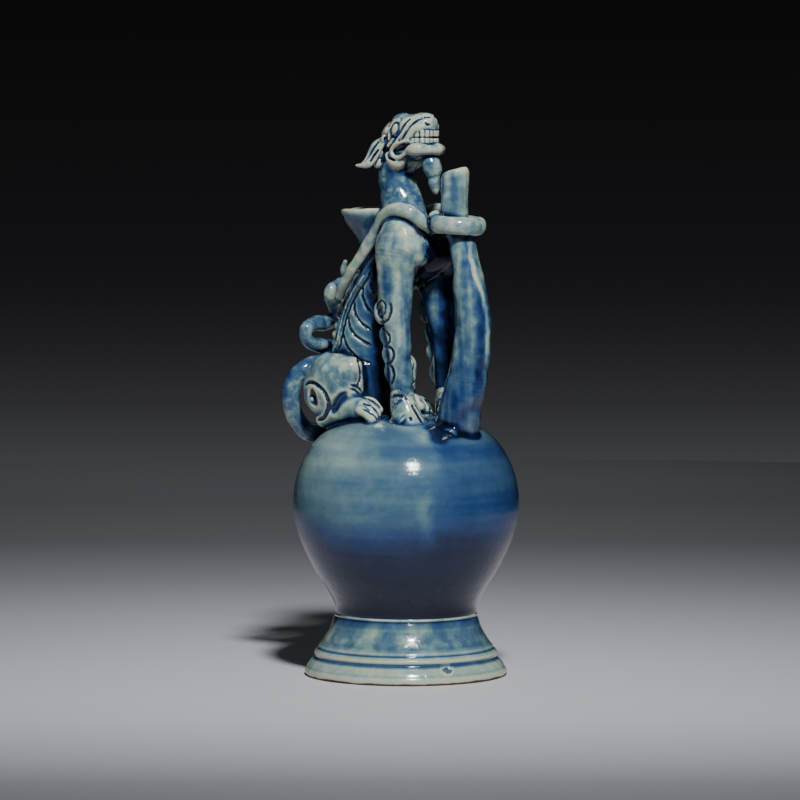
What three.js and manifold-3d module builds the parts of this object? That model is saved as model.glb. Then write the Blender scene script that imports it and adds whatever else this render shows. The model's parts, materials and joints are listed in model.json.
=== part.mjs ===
// Glazed ceramic ewer: a thrown jar on a flared foot, with a seated qilin modelled on its shoulder.
// The beast looks along +X, its right side is -Y, and Z is up from the surface that the foot stands on.
// Liquid goes in at the funnel on the beast's back and down through its hollow torso into the jar.
// It is poured from the curved spout that a collar and two straps tie to the beast's shoulders.
// Millimetres. Each piece is made by itself and luted on, with a fine joint line to what carries it.
import * as THREE from 'three';
import { mergeVertices } from 'three/addons/utils/BufferGeometryUtils.js';
import Module from 'manifold-3d';

const wasm = await Module();
wasm.setup();

// Joints and cuts
const jointGap = 0.3; // joint line between a piece and what carries it
const overrun = 4; // how far a cutting tool runs past what it cuts

// Foot
const footRadius = 47.3;
const footHeight = 28.8;
const footWall = 6;
const footCeiling = 7; // clay between the recess and the jar

// Jar
const waistRadius = 33.2; // where the jar stands on its foot
const jarRadius = 52.8;
const jarHeight = 92.2; // from the foot to the crown of the shoulder
const jarWall = 5;
const jarTop = footHeight + jarHeight;

// The beast and its spout fill this space on the jar's crown; their places are shares of it
const beastLength = 100; // tail to the bow of the spout
const beastWidth = 60; // across the haunches
const beastHeight = 141; // from the crown of the jar to the top of the head

// Body
const torsoDepth = 34;
const torsoBreadth = 35;
const torsoWall = 5;
const neckBreadth = 24;
const crestHeight = 6.4;
const crestBreadth = 4.6;
const tailThickness = 10;

// Legs
const shoulderDepth = 25;
const shoulderBreadth = 17;
const forepawBreadth = 14;
const haunchLength = 36;
const haunchBreadth = 21;
const haunchHeight = 31;
const hindpawBreadth = 13.5;
const scrollSpread = 8.4; // across one curl of the tufts behind a foreleg
const scrollThickness = 3.6;

// Head
const skullLength = 22;
const headBreadth = 18;
const headHeight = 20;
const jawThickness = 8;
const knobLength = 8.4;
const knobBreadth = 12;
const eyeDiameter = 6;
const earBreadth = 8;
const beardThickness = 9;
const curlThickness = 6.6;
const toothHeight = 2.8;
const toothBreadth = 2.3;

// Spout, collar and straps
const spoutReach = 39.8; // from the jar's axis to the middle of the bow
const spoutHeight = 116.5; // from the crown of the jar to the highest point of the lip
const spoutDiameter = 20;
const spoutWall = 2.2;
const lipTilt = THREE.MathUtils.degToRad(19);
const collarRise = 89.4; // from the crown of the jar to the middle of the collar
const collarBreadth = 6.8; // across the coil
const collarDepth = 8.4;
const knotDiameter = 6.4;
const strapThickness = 6.4;

// Funnel
const funnelRadius = 13.3;
const funnelHeight = 36; // from the rim down into the back
const funnelRise = 95.2; // from the crown of the jar to the rim
const funnelStem = 5.6; // radius
const funnelBore = 4.2; // radius
const channelRadius = 4.9; // the way down through the back, under the funnel
const funnelPlace = -20.6; // where its bore meets the back
const funnelLean = THREE.MathUtils.degToRad(5);
const fillHole = 7; // radius of the hole in the jar's crown
const fillDepth = 15; // how far down that hole is cut

// How finely round forms are cut
const jarSegments = 32;
const funnelSegments = 18;
const collarSegments = 20;
const coilFacets = 8;
const outlineSteps = 13; // from the jar's waist to its crown
const flareSteps = 4;
const ringShare = 0.7; // rings in a ball, as a share of its segments
const domeShare = 0.7; // how far a limb's end bulges, as a share of its half thickness

const upward = new THREE.Vector3(0, 0, 1);
const sides = { right: -1, left: 1 };
const { lerp } = THREE.MathUtils;

// Solids

function weld(geometry) {
  const bare = geometry.clone();
  bare.deleteAttribute('normal');
  bare.deleteAttribute('uv');
  return mergeVertices(bare);
}

function solidOf(geometry) {
  const merged = weld(geometry);
  const corners = merged.index.array;
  const triVerts = [];
  for (let i = 0; i < corners.length; i += 3) {
    const [a, b, c] = corners.slice(i, i + 3);
    if (a !== b && b !== c && c !== a) triVerts.push(a, b, c);
  }
  return new wasm.Manifold(new wasm.Mesh({
    numProp: 3,
    vertProperties: merged.attributes.position.array,
    triVerts: new Uint32Array(triVerts),
  }));
}

const join = (solids) => solids.reduce((whole, next) => whole.add(next));

// What is left of a solid when every tool has cut it, without loose slivers
function cut(solid, tools) {
  const left = tools.reduce((rest, tool) => rest.subtract(tool), solid).decompose();
  return left.reduce((most, next) => (next.volume() > most.volume() ? next : most));
}

// A round body from an outline of radii and heights that runs up from the axis and back to it
function turned(outline, grow = 0, segments = jarSegments) {
  const points = outline.map((point, i) => {
    const before = outline[Math.max(i - 1, 0)];
    const after = outline[Math.min(i + 1, outline.length - 1)];
    const run = after.clone().sub(before).normalize();
    const moved = point.clone().add(new THREE.Vector2(run.y, -run.x).multiplyScalar(grow));
    return point.x === 0 ? new THREE.Vector2(0, moved.y) : moved;
  });
  return solidOf(new THREE.LatheGeometry(points, segments).rotateX(Math.PI / 2));
}

// A ball with three half sizes, turned in the plane that parts right from left
function mass(at, half, grow = 0, { pitch = 0, round = 8 } = {}) {
  const ball = new THREE.SphereGeometry(1, round, Math.ceil(round * ringShare));
  const size = half.clone().addScalar(grow);
  return solidOf(ball.scale(size.x, size.y, size.z).rotateY(-pitch).translate(at.x, at.y, at.z));
}

// A body of oval sections along a smooth line, with domed ends.
// A station holds its centre, half depth and half breadth. Breadth starts out from right to left.
function limb(stations, grow = 0, { round = 12, steps = 2, caps = 2 } = {}) {
  const line = new THREE.CatmullRomCurve3(stations.map((station) => station.at));
  const girth = new THREE.CatmullRomCurve3(stations.map((s) => new THREE.Vector3(s.deep, s.broad, 0)));
  const last = (stations.length - 1) * steps;
  const positions = [];
  const breadth = new THREE.Vector3(0, 1, 0);
  const ring = (t, narrow, push) => {
    const tangent = line.getTangent(t);
    breadth.addScaledVector(tangent, -breadth.dot(tangent)).normalize();
    const depth = new THREE.Vector3().crossVectors(tangent, breadth);
    const size = girth.getPoint(t).addScalar(grow);
    const centre = line.getPoint(t).addScaledVector(tangent, push * domeShare * (size.x + size.y) / 2);
    for (let i = 0; i < round; i++) {
      const angle = (i / round) * 2 * Math.PI;
      positions.push(...centre.clone()
        .addScaledVector(depth, Math.cos(angle) * size.x * narrow)
        .addScaledVector(breadth, Math.sin(angle) * size.y * narrow));
    }
  };
  const cap = (j) => [Math.cos((j / caps) * Math.PI / 2), Math.sin((j / caps) * Math.PI / 2)];
  for (let j = caps; j > 0; j--) ring(0, j === caps ? 0 : cap(j)[0], -cap(j)[1]);
  for (let i = 0; i <= last; i++) ring(i / last, 1, 0);
  for (let j = 1; j <= caps; j++) ring(1, j === caps ? 0 : cap(j)[0], cap(j)[1]);
  const indices = [];
  for (let start = 0; start + round < positions.length / 3; start += round) {
    for (let i = 0; i < round; i++) {
      const [a, b] = [start + i, start + (i + 1) % round];
      indices.push(a, b + round, b, a, a + round, b + round);
    }
  }
  const geometry = new THREE.BufferGeometry();
  geometry.setAttribute('position', new THREE.Float32BufferAttribute(positions, 3));
  geometry.setIndex(indices);
  return solidOf(geometry);
}

const halved = (x, y, z) => new THREE.Vector3(x, y, z).divideScalar(2);

// A block that takes away what lies beyond a plane through a point, on the side its direction names
function beyond(point, direction, size) {
  const block = new THREE.BoxGeometry(size, size, size).translate(0, 0, size / 2);
  block.applyQuaternion(new THREE.Quaternion().setFromUnitVectors(upward, direction));
  return solidOf(block.translate(point.x, point.y, point.z));
}

// Places and stations

const place = (x, y, z) => new THREE.Vector3(x * beastLength, y * beastWidth, jarTop + z * beastHeight);

// Rows are shares: along, across and up the beast's space, then of the piece's depth and breadth.
const stationsOf = (shares, depth, breadth, side = 1) => shares.map(([x, y, z, deep, broad = deep]) => ({
  at: place(x, side * y, z), deep: deep * depth, broad: broad * breadth,
}));

// Jar and foot

const risingShares = [[0.075, 0.084], [0.43, 0.205], [0.857, 0.393], [1, 0.566]];
const shoulderShares = [[0.913, 0.772], [0.7, 0.912], [0.36, 0.985], [0, 1]];
const floorShare = 0.06; // the clay under the hollow of the jar

function jarOutline() {
  const rising = risingShares.map(([r, z]) => [lerp(waistRadius, jarRadius, r), z * jarHeight]);
  const shoulder = shoulderShares.map(([r, z]) => [r * jarRadius, z * jarHeight]);
  const points = [[waistRadius, 0], ...rising, ...shoulder].map(([r, z]) => new THREE.Vector2(r, z));
  return new THREE.SplineCurve(points).getPoints(outlineSteps);
}

function jarForm(grow) {
  const outline = jarOutline().map((p) => new THREE.Vector2(Math.max(p.x, 0), p.y + footHeight + jointGap));
  outline[outline.length - 1].x = 0;
  return turned([new THREE.Vector2(0, footHeight + jointGap), ...outline], grow);
}

function jarCavity() {
  const floor = new THREE.Vector3(0, 0, footHeight + floorShare * jarHeight);
  return jarForm(-jarWall).subtract(beyond(floor, upward.clone().negate(), jarRadius * 2));
}

const treadShares = [[0.962, 0], [0.987, 0.04], [1, 0.15], [0.97, 0.24], [0.91, 0.315], [0.896, 0.41],
  [0.87, 0.47]];
const flareShares = [0.745, 0.68]; // the point that the flare bends towards
const recessShares = [0.79, 0.62]; // radius of the recess at the tread and at its ceiling

function footForm(grow) {
  const at = ([r, z]) => new THREE.Vector2(r * footRadius, z * footHeight);
  const tread = treadShares.map(at);
  const waist = new THREE.Vector2(waistRadius, footHeight);
  const flare = new THREE.QuadraticBezierCurve(tread[tread.length - 1], at(flareShares), waist);
  const rise = [...tread, ...flare.getPoints(flareSteps).slice(1)];
  return turned([new THREE.Vector2(0, 0), ...rise, new THREE.Vector2(0, footHeight)], grow);
}

function footRecess() {
  const ceiling = footHeight - footCeiling;
  const [low, high] = [footRadius * recessShares[0], waistRadius * recessShares[1] + footWall / 2];
  return turned([[0, -overrun], [low, -overrun], [low, 0], [high, ceiling], [0, ceiling]]
    .map(([r, z]) => new THREE.Vector2(r, z)));
}

// Body

const torsoShares = [[-0.25, 0, -0.035, 0.5, 0.48], [-0.25, 0, 0.106, 0.5, 0.5],
  [-0.235, 0, 0.227, 0.43, 0.46], [-0.195, 0, 0.348, 0.385, 0.41], [-0.115, 0, 0.447, 0.365, 0.41],
  [-0.005, 0, 0.518, 0.39, 0.43], [0.09, 0, 0.542, 0.34, 0.4]];
const neckShares = [[0.02, 0, 0.58, 0.52, 0.5], [-0.01, 0, 0.68, 0.44, 0.43],
  [-0.042, 0, 0.759, 0.38, 0.375], [-0.045, 0, 0.85, 0.35, 0.35]];
const crestShares = [[-0.265, 0, 0.452, 0.4], [-0.322, 0, 0.388, 0.46], [-0.355, 0, 0.33, 0.5],
  [-0.375, 0, 0.26, 0.46], [-0.4, 0, 0.19, 0.36]];
const crestLobes = 7;
const hipStations = 4; // how many of the torso's stations its hollow follows
const channelShares = [-0.05, 1]; // from the crown of the jar to the rim of the funnel
const tailShares = [[-0.4, 0.1, -0.03, 0.5], [-0.475, 0, -0.055, 0.5], [-0.503, -0.2, -0.03, 0.49],
  [-0.495, -0.34, 0.06, 0.48], [-0.475, -0.25, 0.145, 0.45], [-0.44, 0, 0.172, 0.4],
  [-0.425, 0.17, 0.19, 0.36], [-0.425, 0.13, 0.228, 0.33], [-0.435, -0.06, 0.25, 0.33],
  [-0.44, -0.2, 0.275, 0.33], [-0.42, -0.13, 0.31, 0.3], [-0.405, 0.03, 0.33, 0.28],
  [-0.395, 0.12, 0.355, 0.26], [-0.39, 0.03, 0.385, 0.24], [-0.39, -0.1, 0.41, 0.22],
  [-0.37, -0.05, 0.45, 0.2], [-0.35, -0.03, 0.485, 0.16]];

const torsoForm = (grow) => limb(stationsOf(torsoShares, torsoDepth, torsoBreadth), grow, { round: 16 });
const neckForm = (grow) => limb(stationsOf(neckShares, neckBreadth, neckBreadth), grow);
const tailForm = (grow) => limb(stationsOf(tailShares, tailThickness, tailThickness), grow, { round: 8 });

// A straight round way down under the funnel, between two heights
const wayDown = (heights, radius) => limb(heights.map((height) => ({
  at: new THREE.Vector3(funnelPlace, 0, height), deep: radius, broad: radius,
})), 0, { steps: 1 });

function torsoCavity() {
  const hips = stationsOf(torsoShares.slice(0, hipStations), torsoDepth, torsoBreadth);
  const channel = wayDown(channelShares.map((share) => jarTop + share * funnelRise), channelRadius);
  return limb(hips, -torsoWall, { round: 14 }).add(channel);
}

// The comb down the back: a low ridge with a row of rounded lobes
function crestForm(grow) {
  const stations = stationsOf(crestShares, crestHeight, crestBreadth);
  const line = new THREE.CatmullRomCurve3(stations.map((station) => station.at));
  const lobe = halved(crestHeight, crestBreadth, crestHeight);
  const spots = Array.from({ length: crestLobes }, (_, i) => line.getPoint((i + 0.5) / crestLobes));
  const lobes = spots.map((spot) => mass(spot, lobe, grow, { round: 6 }));
  return join([limb(stations, grow, { round: 6 }), ...lobes]);
}

// Legs: each function makes the right one or the left one, by its side

const forelegShares = [[0.088, 0.242, 0.03, 0.21, 0.32], [0.078, 0.242, 0.191, 0.205, 0.31],
  [0.066, 0.242, 0.298, 0.25, 0.35], [0.052, 0.24, 0.383, 0.31, 0.4], [0.046, 0.237, 0.454, 0.365, 0.45],
  [0.05, 0.23, 0.523, 0.425, 0.49], [0.045, 0.208, 0.603, 0.42, 0.44]];
const forepawShares = [[0.055, 0.242, 0.02, 0.36, 0.42], [0.1, 0.242, 0.02, 0.42, 0.48],
  [0.15, 0.242, 0, 0.32, 0.5]];
const ankleShares = [[0.088, 0.242, 0.085, 0.38, 0.36], [0.1, 0.242, 0.02, 0.42, 0.42]];
const forepawToes = { from: [0.12, 0.242, 0.022], to: [0.192, 0.242, -0.01], spread: 0.27 };
const haunchPlace = [-0.262, 0.325, 0.108];
const haunchPitch = THREE.MathUtils.degToRad(35);
const hindpawShares = [[-0.31, 0.36, -0.03, 0.35, 0.4], [-0.14, 0.34, 0.005, 0.42, 0.46],
  [-0.055, 0.335, 0.004, 0.36, 0.5]];
const hindpawToes = { from: [-0.07, 0.335, 0.02], to: [0.0, 0.335, -0.004], spread: 0.27 };
const toes = 4;
const toeGirthShare = 0.62; // radius of a toe, of the way from one to the next
const toeRootShare = 0.7; // how close the toes stand at their roots, of their spacing at the tips

const forelegForm = (side) => (grow) => (
  limb(stationsOf(forelegShares, shoulderDepth, shoulderBreadth, side), grow));

function toesForm({ from, to, spread }, breadth, side, grow) {
  const radius = spread * breadth * toeGirthShare;
  return join(Array.from({ length: toes }, (_, i) => {
    const aside = (i - (toes - 1) / 2) * spread * breadth;
    const root = place(from[0], side * from[1], from[2]).add(new THREE.Vector3(0, aside * toeRootShare, 0));
    const tip = place(to[0], side * to[1], to[2]).add(new THREE.Vector3(0, aside, 0));
    const stations = [root, tip].map((at) => ({ at, deep: radius, broad: radius }));
    return limb(stations, grow, { round: 6, steps: 1, caps: 1 });
  }));
}

const forepawForm = (side) => (grow) => join([
  limb(stationsOf(forepawShares, forepawBreadth, forepawBreadth, side), grow, { round: 10 }),
  limb(stationsOf(ankleShares, forepawBreadth, forepawBreadth, side), grow, { round: 10, steps: 1 }),
  toesForm(forepawToes, forepawBreadth, side, grow),
]);

const haunchForm = (side) => (grow) => {
  const [x, y, z] = haunchPlace;
  const half = halved(haunchLength, haunchBreadth, haunchHeight);
  return mass(place(x, side * y, z), half, grow, { pitch: haunchPitch, round: 16 });
};

const hindpawForm = (side) => (grow) => join([
  limb(stationsOf(hindpawShares, hindpawBreadth, hindpawBreadth, side), grow, { round: 10 }),
  toesForm(hindpawToes, hindpawBreadth, side, grow),
]);

// Tufts behind a foreleg: open curls one above the other
const scrollLevels = [0.348, 0.277, 0.208, 0.135];
const scrollPlace = [-0.012, 0.242];
const curlStart = 0.12; // turns
const curlTurns = 0.78;
const curlPoints = 7;

const scrollForm = (side) => (grow) => join(scrollLevels.map((level) => {
  const middle = place(scrollPlace[0], side * scrollPlace[1], level);
  const stations = Array.from({ length: curlPoints }, (_, i) => {
    const angle = (curlStart + (i / (curlPoints - 1)) * curlTurns) * 2 * Math.PI;
    const reach = new THREE.Vector3(Math.cos(angle), 0, Math.sin(angle)).multiplyScalar(scrollSpread / 2);
    return { at: middle.clone().add(reach), deep: scrollThickness / 2, broad: scrollThickness / 2 };
  });
  return limb(stations, grow, { round: 5, steps: 1, caps: 1 });
}));

// Head

const skullPlace = [-0.02, 0, 0.915];
const snoutShares = [[-0.03, 0, 0.92, 0.4, 0.45], [0.05, 0, 0.95, 0.31, 0.42],
  [0.115, 0, 0.965, 0.23, 0.38], [0.152, 0, 0.96, 0.17, 0.33]];
const jawShares = [[-0.03, 0, 0.85, 0.5, 0.42], [0.07, 0, 0.872, 0.48, 0.4], [0.14, 0, 0.878, 0.44, 0.36],
  [0.19, 0, 0.882, 0.4, 0.28]];
const knobPlace = [-0.018, 0, 0.97];
const eyePlace = [-0.008, 0.13, 0.957];
const earShares = [[-0.07, 0.11, 0.87, 0.3, 0.5], [-0.14, 0.18, 0.868, 0.28, 0.5],
  [-0.185, 0.215, 0.838, 0.14, 0.22]];
const beardShares = [[0.16, 0, 0.852, 0.44], [0.158, 0, 0.83, 0.52], [0.166, 0, 0.806, 0.5],
  [0.17, 0, 0.784, 0.37], [0.17, 0, 0.762, 0.34], [0.176, 0, 0.738, 0.14]];
const curlShares = [[[-0.02, 0.13, 0.85, 0.5], [-0.06, 0.16, 0.82, 0.42], [-0.1, 0.17, 0.81, 0.2]],
  [[-0.07, 0.12, 0.83, 0.45], [-0.11, 0.13, 0.79, 0.38], [-0.14, 0.13, 0.775, 0.2]],
  [[-0.08, 0.1, 0.79, 0.42], [-0.12, 0.1, 0.75, 0.34], [-0.15, 0.1, 0.74, 0.18]]];

function headForm(grow) {
  const skull = mass(place(...skullPlace), halved(skullLength, headBreadth, headHeight), grow, { round: 14 });
  return skull.add(limb(stationsOf(snoutShares, headHeight, headBreadth), grow));
}

const jawForm = (grow) => limb(stationsOf(jawShares, jawThickness, headBreadth), grow, { round: 10 });
const beardForm = (grow) => limb(stationsOf(beardShares, beardThickness, beardThickness), grow, { round: 8 });
const knobForm = (grow) => mass(place(...knobPlace), halved(knobLength, knobBreadth, knobLength), grow);

const eyeForm = (side) => (grow) => {
  const [x, y, z] = eyePlace;
  return mass(place(x, side * y, z), halved(eyeDiameter, eyeDiameter, eyeDiameter), grow);
};

const earForm = (side) => (grow) => (
  limb(stationsOf(earShares, earBreadth, earBreadth, side), grow, { round: 10 }));
const maneForm = (side) => (grow) => join(curlShares.map((shares) => (
  limb(stationsOf(shares, curlThickness, curlThickness, side), grow, { round: 7, steps: 1 }))));

// A row of teeth round the front of the mouth, on a strip of gum
const toothCount = 8;
const toothArcShares = { x: 0.085, reach: 0.088, half: 0.095 };
const toothArc = Math.PI * 0.9;
const gumShare = 0.5; // of a tooth's height, from the middle of the tooth to its root
const crownShares = [0.25, -0.25];
const toothLevelShares = { upper: 0.935, lower: 0.913 };

const teethForm = (level, rise) => (grow) => {
  const { x, reach, half } = toothArcShares;
  const on = (i) => {
    const angle = (i / (toothCount - 1) - 0.5) * toothArc;
    return place(x + reach * Math.cos(angle), half * Math.sin(angle), level);
  };
  const deep = toothBreadth / 2;
  const spots = Array.from({ length: toothCount }, (_, i) => on(i));
  const raised = (at, share) => (
    { at: at.clone().setZ(at.z + share * rise * toothHeight), deep, broad: deep });
  const gum = spots.map((at) => raised(at, gumShare));
  const crowns = spots.map((at) => crownShares.map((share) => raised(at, share)));
  return join([limb(gum, grow, { round: 4, steps: 1, caps: 1 }),
    ...crowns.map((crown) => limb(crown, grow, { round: 5, steps: 1, caps: 1 }))]);
};

// Spout, collar and straps

const spoutShares = [[0.735, -0.087, 0.475], [0.807, 0.049, 0.5], [0.89, 0.131, 0.48], [0.925, 0.21, 0.435],
  [0.968, 0.275, 0.41], [1, 0.384, 0.375], [0.955, 0.49, 0.36], [0.895, 0.596, 0.335], [0.824, 0.686, 0.31],
  [0.76, 0.753, 0.31], [0.71, 0.812, 0.32], [0.71, 0.903, 0.32], [0.71, 1.03, 0.32]];
const strapShares = [[0.181, 0.1, 0.622, 0.5], [0.172, 0.167, 0.642, 0.5], [0.131, 0.222, 0.672, 0.5],
  [0.08, 0.245, 0.682, 0.5], [0.021, 0.245, 0.675, 0.5], [-0.039, 0.228, 0.645, 0.48],
  [-0.103, 0.2, 0.594, 0.46], [-0.166, 0.19, 0.535, 0.45], [-0.222, 0.2, 0.485, 0.43],
  [-0.278, 0.185, 0.44, 0.42], [-0.33, 0.15, 0.385, 0.36]];
const stationsBelowCollar = 9; // the spout's station inside the collar
const stationsBelowLip = 11; // the last one below the lip

const spoutStations = spoutShares.map(([x, z, share]) => ({
  at: new THREE.Vector3(x * spoutReach, 0, jarTop + z * spoutHeight),
  deep: share * spoutDiameter, broad: share * spoutDiameter,
}));
const collarLevel = jarTop + collarRise;

// The middle of the spout at a height, between the two stations next to it
function spoutAt(height) {
  const upper = spoutStations.findIndex((station) => station.at.z > height);
  const [below, above] = [spoutStations[upper - 1].at, spoutStations[upper].at];
  return below.clone().lerp(above, (height - below.z) / (above.z - below.z));
}
const collarPlace = spoutAt(collarLevel);

const spoutForm = (grow) => limb(spoutStations, grow, { round: 14, steps: 1 });
const spoutBore = () => limb(spoutStations, -spoutWall, { round: 10, steps: 1 });
const strapForm = (side) => (grow) => (
  limb(stationsOf(strapShares, strapThickness, strapThickness, side), grow, { round: 8 }));

// Everything past the lip's slanted plane
function pastLip() {
  const top = new THREE.Vector3(spoutStations[spoutStations.length - 1].at.x, 0, jarTop + spoutHeight);
  const rim = top.clone().add(new THREE.Vector3(spoutStations[stationsBelowLip].deep, 0, 0));
  return beyond(rim, new THREE.Vector3(-Math.sin(lipTilt), 0, Math.cos(lipTilt)), spoutDiameter * 2);
}

// The coil round the spout, with a pressed knot on the side towards the beast's right shoulder
function collarForm(grow) {
  const centreRadius = spoutStations[stationsBelowCollar].deep + collarBreadth / 2;
  const section = Array.from({ length: coilFacets + 1 }, (_, i) => {
    const angle = (i / coilFacets - 0.25) * 2 * Math.PI;
    return new THREE.Vector2(centreRadius + Math.cos(angle) * (collarBreadth / 2 + grow),
      Math.sin(angle) * (collarDepth / 2 + grow));
  });
  const coil = new THREE.LatheGeometry(section, collarSegments).rotateX(Math.PI / 2);
  coil.translate(collarPlace.x, collarPlace.y, collarPlace.z);
  const knot = collarPlace.clone().add(new THREE.Vector3(-centreRadius, -collarBreadth, collarDepth / 4));
  return solidOf(coil).add(mass(knot, halved(knotDiameter, knotDiameter, knotDiameter), grow));
}

// Funnel

const funnelJointShare = 0.72; // how far down the funnel its axis crosses the fill channel
const stemTopShare = 0.4; // where the stem begins to flare
const bellShares = [[1, 0], [0.955, -0.06], [0.835, -0.147], [0.63, -0.25], [0.45, -0.37]];
const throatShares = [[0.87, 0.03], [0.82, -0.06], [0.68, -0.14], [0.47, -0.24], [0.32, -0.35]];

// A turned form on the funnel's leaning axis, from radii and heights above its rim
function leaning(radiiAndHeights) {
  const outline = radiiAndHeights.map(([r, z]) => new THREE.Vector2(r, z));
  const rimPlace = funnelPlace - Math.sin(funnelLean) * funnelHeight * funnelJointShare;
  const lean = -THREE.MathUtils.radToDeg(funnelLean);
  return (grow) => turned(outline, grow, funnelSegments)
    .rotate([0, lean, 0]).translate([rimPlace, 0, jarTop + funnelRise]);
}

// From the lowest up
const bell = bellShares.map(([r, z]) => [r * funnelRadius, z * funnelHeight]).reverse();
const throat = throatShares.map(([r, z]) => [r * funnelRadius, z * funnelHeight]).reverse();
const funnelForm = leaning([[0, -funnelHeight], [funnelStem, -funnelHeight],
  [funnelStem, -funnelHeight * stemTopShare], ...bell, [0, 0]]);
const funnelHollow = leaning([[0, -funnelHeight - overrun], [funnelBore, -funnelHeight - overrun],
  ...throat, [0, overrun]]);

// The ewer: every piece is trimmed to a joint line by the pieces that were set before it

const ewer = new THREE.Group();
const setForms = [];

function add(name, solid, colour, roughness = 0.22) {
  const mesh = solid.getMesh();
  const geometry = new THREE.BufferGeometry();
  geometry.setAttribute('position', new THREE.BufferAttribute(new Float32Array(mesh.vertProperties), 3));
  geometry.setIndex(new THREE.BufferAttribute(new Uint32Array(mesh.triVerts), 1));
  geometry.computeVertexNormals();
  const material = new THREE.MeshStandardMaterial({ color: colour, roughness, metalness: 0 });
  const piece = new THREE.Mesh(geometry, material);
  piece.name = name;
  ewer.add(piece);
}

function lute(name, form, colour, hollows = []) {
  add(name, cut(form(0), [...setForms, ...hollows]), colour);
  setForms.push(form(jointGap));
}

const jarBlue = 0x2d5688;
const footBlue = 0x44708c;
const beastBlue = 0x5f8296;
const paleBlue = 0x93a8a0;
const bareEdge = 0xc3c4ac;

const torsoHollow = torsoCavity();
const fillPassage = wayDown([jarTop - fillDepth, jarTop], fillHole);

add('foot', cut(footForm(0), [footRecess()]), footBlue);
lute('jar', jarForm, jarBlue, [jarCavity(), fillPassage, spoutBore()]);
lute('torso', torsoForm, beastBlue, [torsoHollow]);
for (const [name, side] of Object.entries(sides)) {
  lute(`haunch_${name}`, haunchForm(side), beastBlue);
  lute(`hind_paw_${name}`, hindpawForm(side), beastBlue);
  lute(`foreleg_${name}`, forelegForm(side), beastBlue);
  lute(`fore_paw_${name}`, forepawForm(side), beastBlue);
  lute(`leg_tufts_${name}`, scrollForm(side), paleBlue);
}

const wholeSpout = spoutForm(0);
const spoutJoint = [1, -1].map((way) => {
  const edge = collarPlace.clone().addScaledVector(upward, -way * jointGap / 2);
  return beyond(edge, upward.clone().multiplyScalar(way), spoutHeight * 2);
});
add('spout', cut(wholeSpout, [...setForms, spoutJoint[0], spoutBore()]), beastBlue);
add('spout_tip', cut(wholeSpout, [...setForms, spoutJoint[1], spoutBore(), pastLip()]), paleBlue);
setForms.push(spoutForm(jointGap));
lute('spout_collar', collarForm, paleBlue);

lute('neck', neckForm, beastBlue);
lute('head', headForm, paleBlue);
lute('lower_jaw', jawForm, paleBlue);
lute('forehead_knob', knobForm, beastBlue);
lute('upper_teeth', teethForm(toothLevelShares.upper, 1), bareEdge);
lute('lower_teeth', teethForm(toothLevelShares.lower, -1), bareEdge);
lute('beard', beardForm, paleBlue);
for (const [name, side] of Object.entries(sides)) {
  lute(`eye_${name}`, eyeForm(side), bareEdge);
  lute(`ear_${name}`, earForm(side), paleBlue);
  lute(`mane_curls_${name}`, maneForm(side), beastBlue);
}
lute('funnel', funnelForm, beastBlue, [funnelHollow(0)]);
for (const [name, side] of Object.entries(sides)) lute(`shoulder_strap_${name}`, strapForm(side), paleBlue);
lute('back_crest', crestForm, paleBlue);
lute('tail', tailForm, beastBlue);

export default ewer;
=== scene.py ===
import json
import math

import bpy
import numpy as np
from bpy.props import FloatProperty, FloatVectorProperty, PointerProperty
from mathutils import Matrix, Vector


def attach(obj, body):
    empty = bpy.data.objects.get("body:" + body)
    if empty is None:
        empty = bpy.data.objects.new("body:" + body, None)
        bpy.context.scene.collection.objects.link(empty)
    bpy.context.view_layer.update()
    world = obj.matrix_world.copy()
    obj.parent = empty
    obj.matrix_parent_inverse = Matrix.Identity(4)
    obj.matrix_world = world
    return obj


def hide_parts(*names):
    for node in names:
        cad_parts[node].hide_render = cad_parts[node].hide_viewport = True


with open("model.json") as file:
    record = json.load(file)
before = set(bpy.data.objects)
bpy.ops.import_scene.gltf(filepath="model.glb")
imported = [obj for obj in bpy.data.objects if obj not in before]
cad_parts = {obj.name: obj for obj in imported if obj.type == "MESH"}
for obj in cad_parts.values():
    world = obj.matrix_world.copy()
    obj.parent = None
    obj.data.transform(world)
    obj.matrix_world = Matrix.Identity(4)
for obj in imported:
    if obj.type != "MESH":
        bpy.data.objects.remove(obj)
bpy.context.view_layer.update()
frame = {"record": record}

bl_info = {
    "name": "Qilin ewer",
    "version": (1, 0, 0),
    "blender": (4, 5, 0),
    "location": "3D View > Sidebar > Ewer",
    "description": "Models a thrown jar with a seated qilin on it, and glazes it in cobalt blue",
    "category": "Object",
}

# Lengths are millimetres until a mesh is made. The beast looks along +X and its right side is -Y.
# Tables give the left side; the right side is its mirror image.
MM = 0.001
SIDES = {"right": -1, "left": 1}

# The photograph's view
VIEW_AZIMUTH = math.radians(38.0)
VIEW_DISTANCE = 1925.0
VIEW_HEIGHT = 250.0
VIEW_PITCH = math.radians(3.62)
VIEW_PIXELS = 800
VIEW_FOCAL = 4139.0  # pixels
VIEW_AXIS = 406.0  # the pixel column where the ewer's axis stands
VIEW_YAW = math.atan((VIEW_AXIS - VIEW_PIXELS / 2) / VIEW_FOCAL)
TOWARD_CAMERA = (math.sin(VIEW_AZIMUTH), -math.cos(VIEW_AZIMUTH))
ACROSS_VIEW = (math.cos(VIEW_AZIMUTH), math.sin(VIEW_AZIMUTH))
VIEW_EYE = np.array([*(part * VIEW_DISTANCE for part in TOWARD_CAMERA), VIEW_HEIGHT])
SENSOR = 36.0


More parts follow.
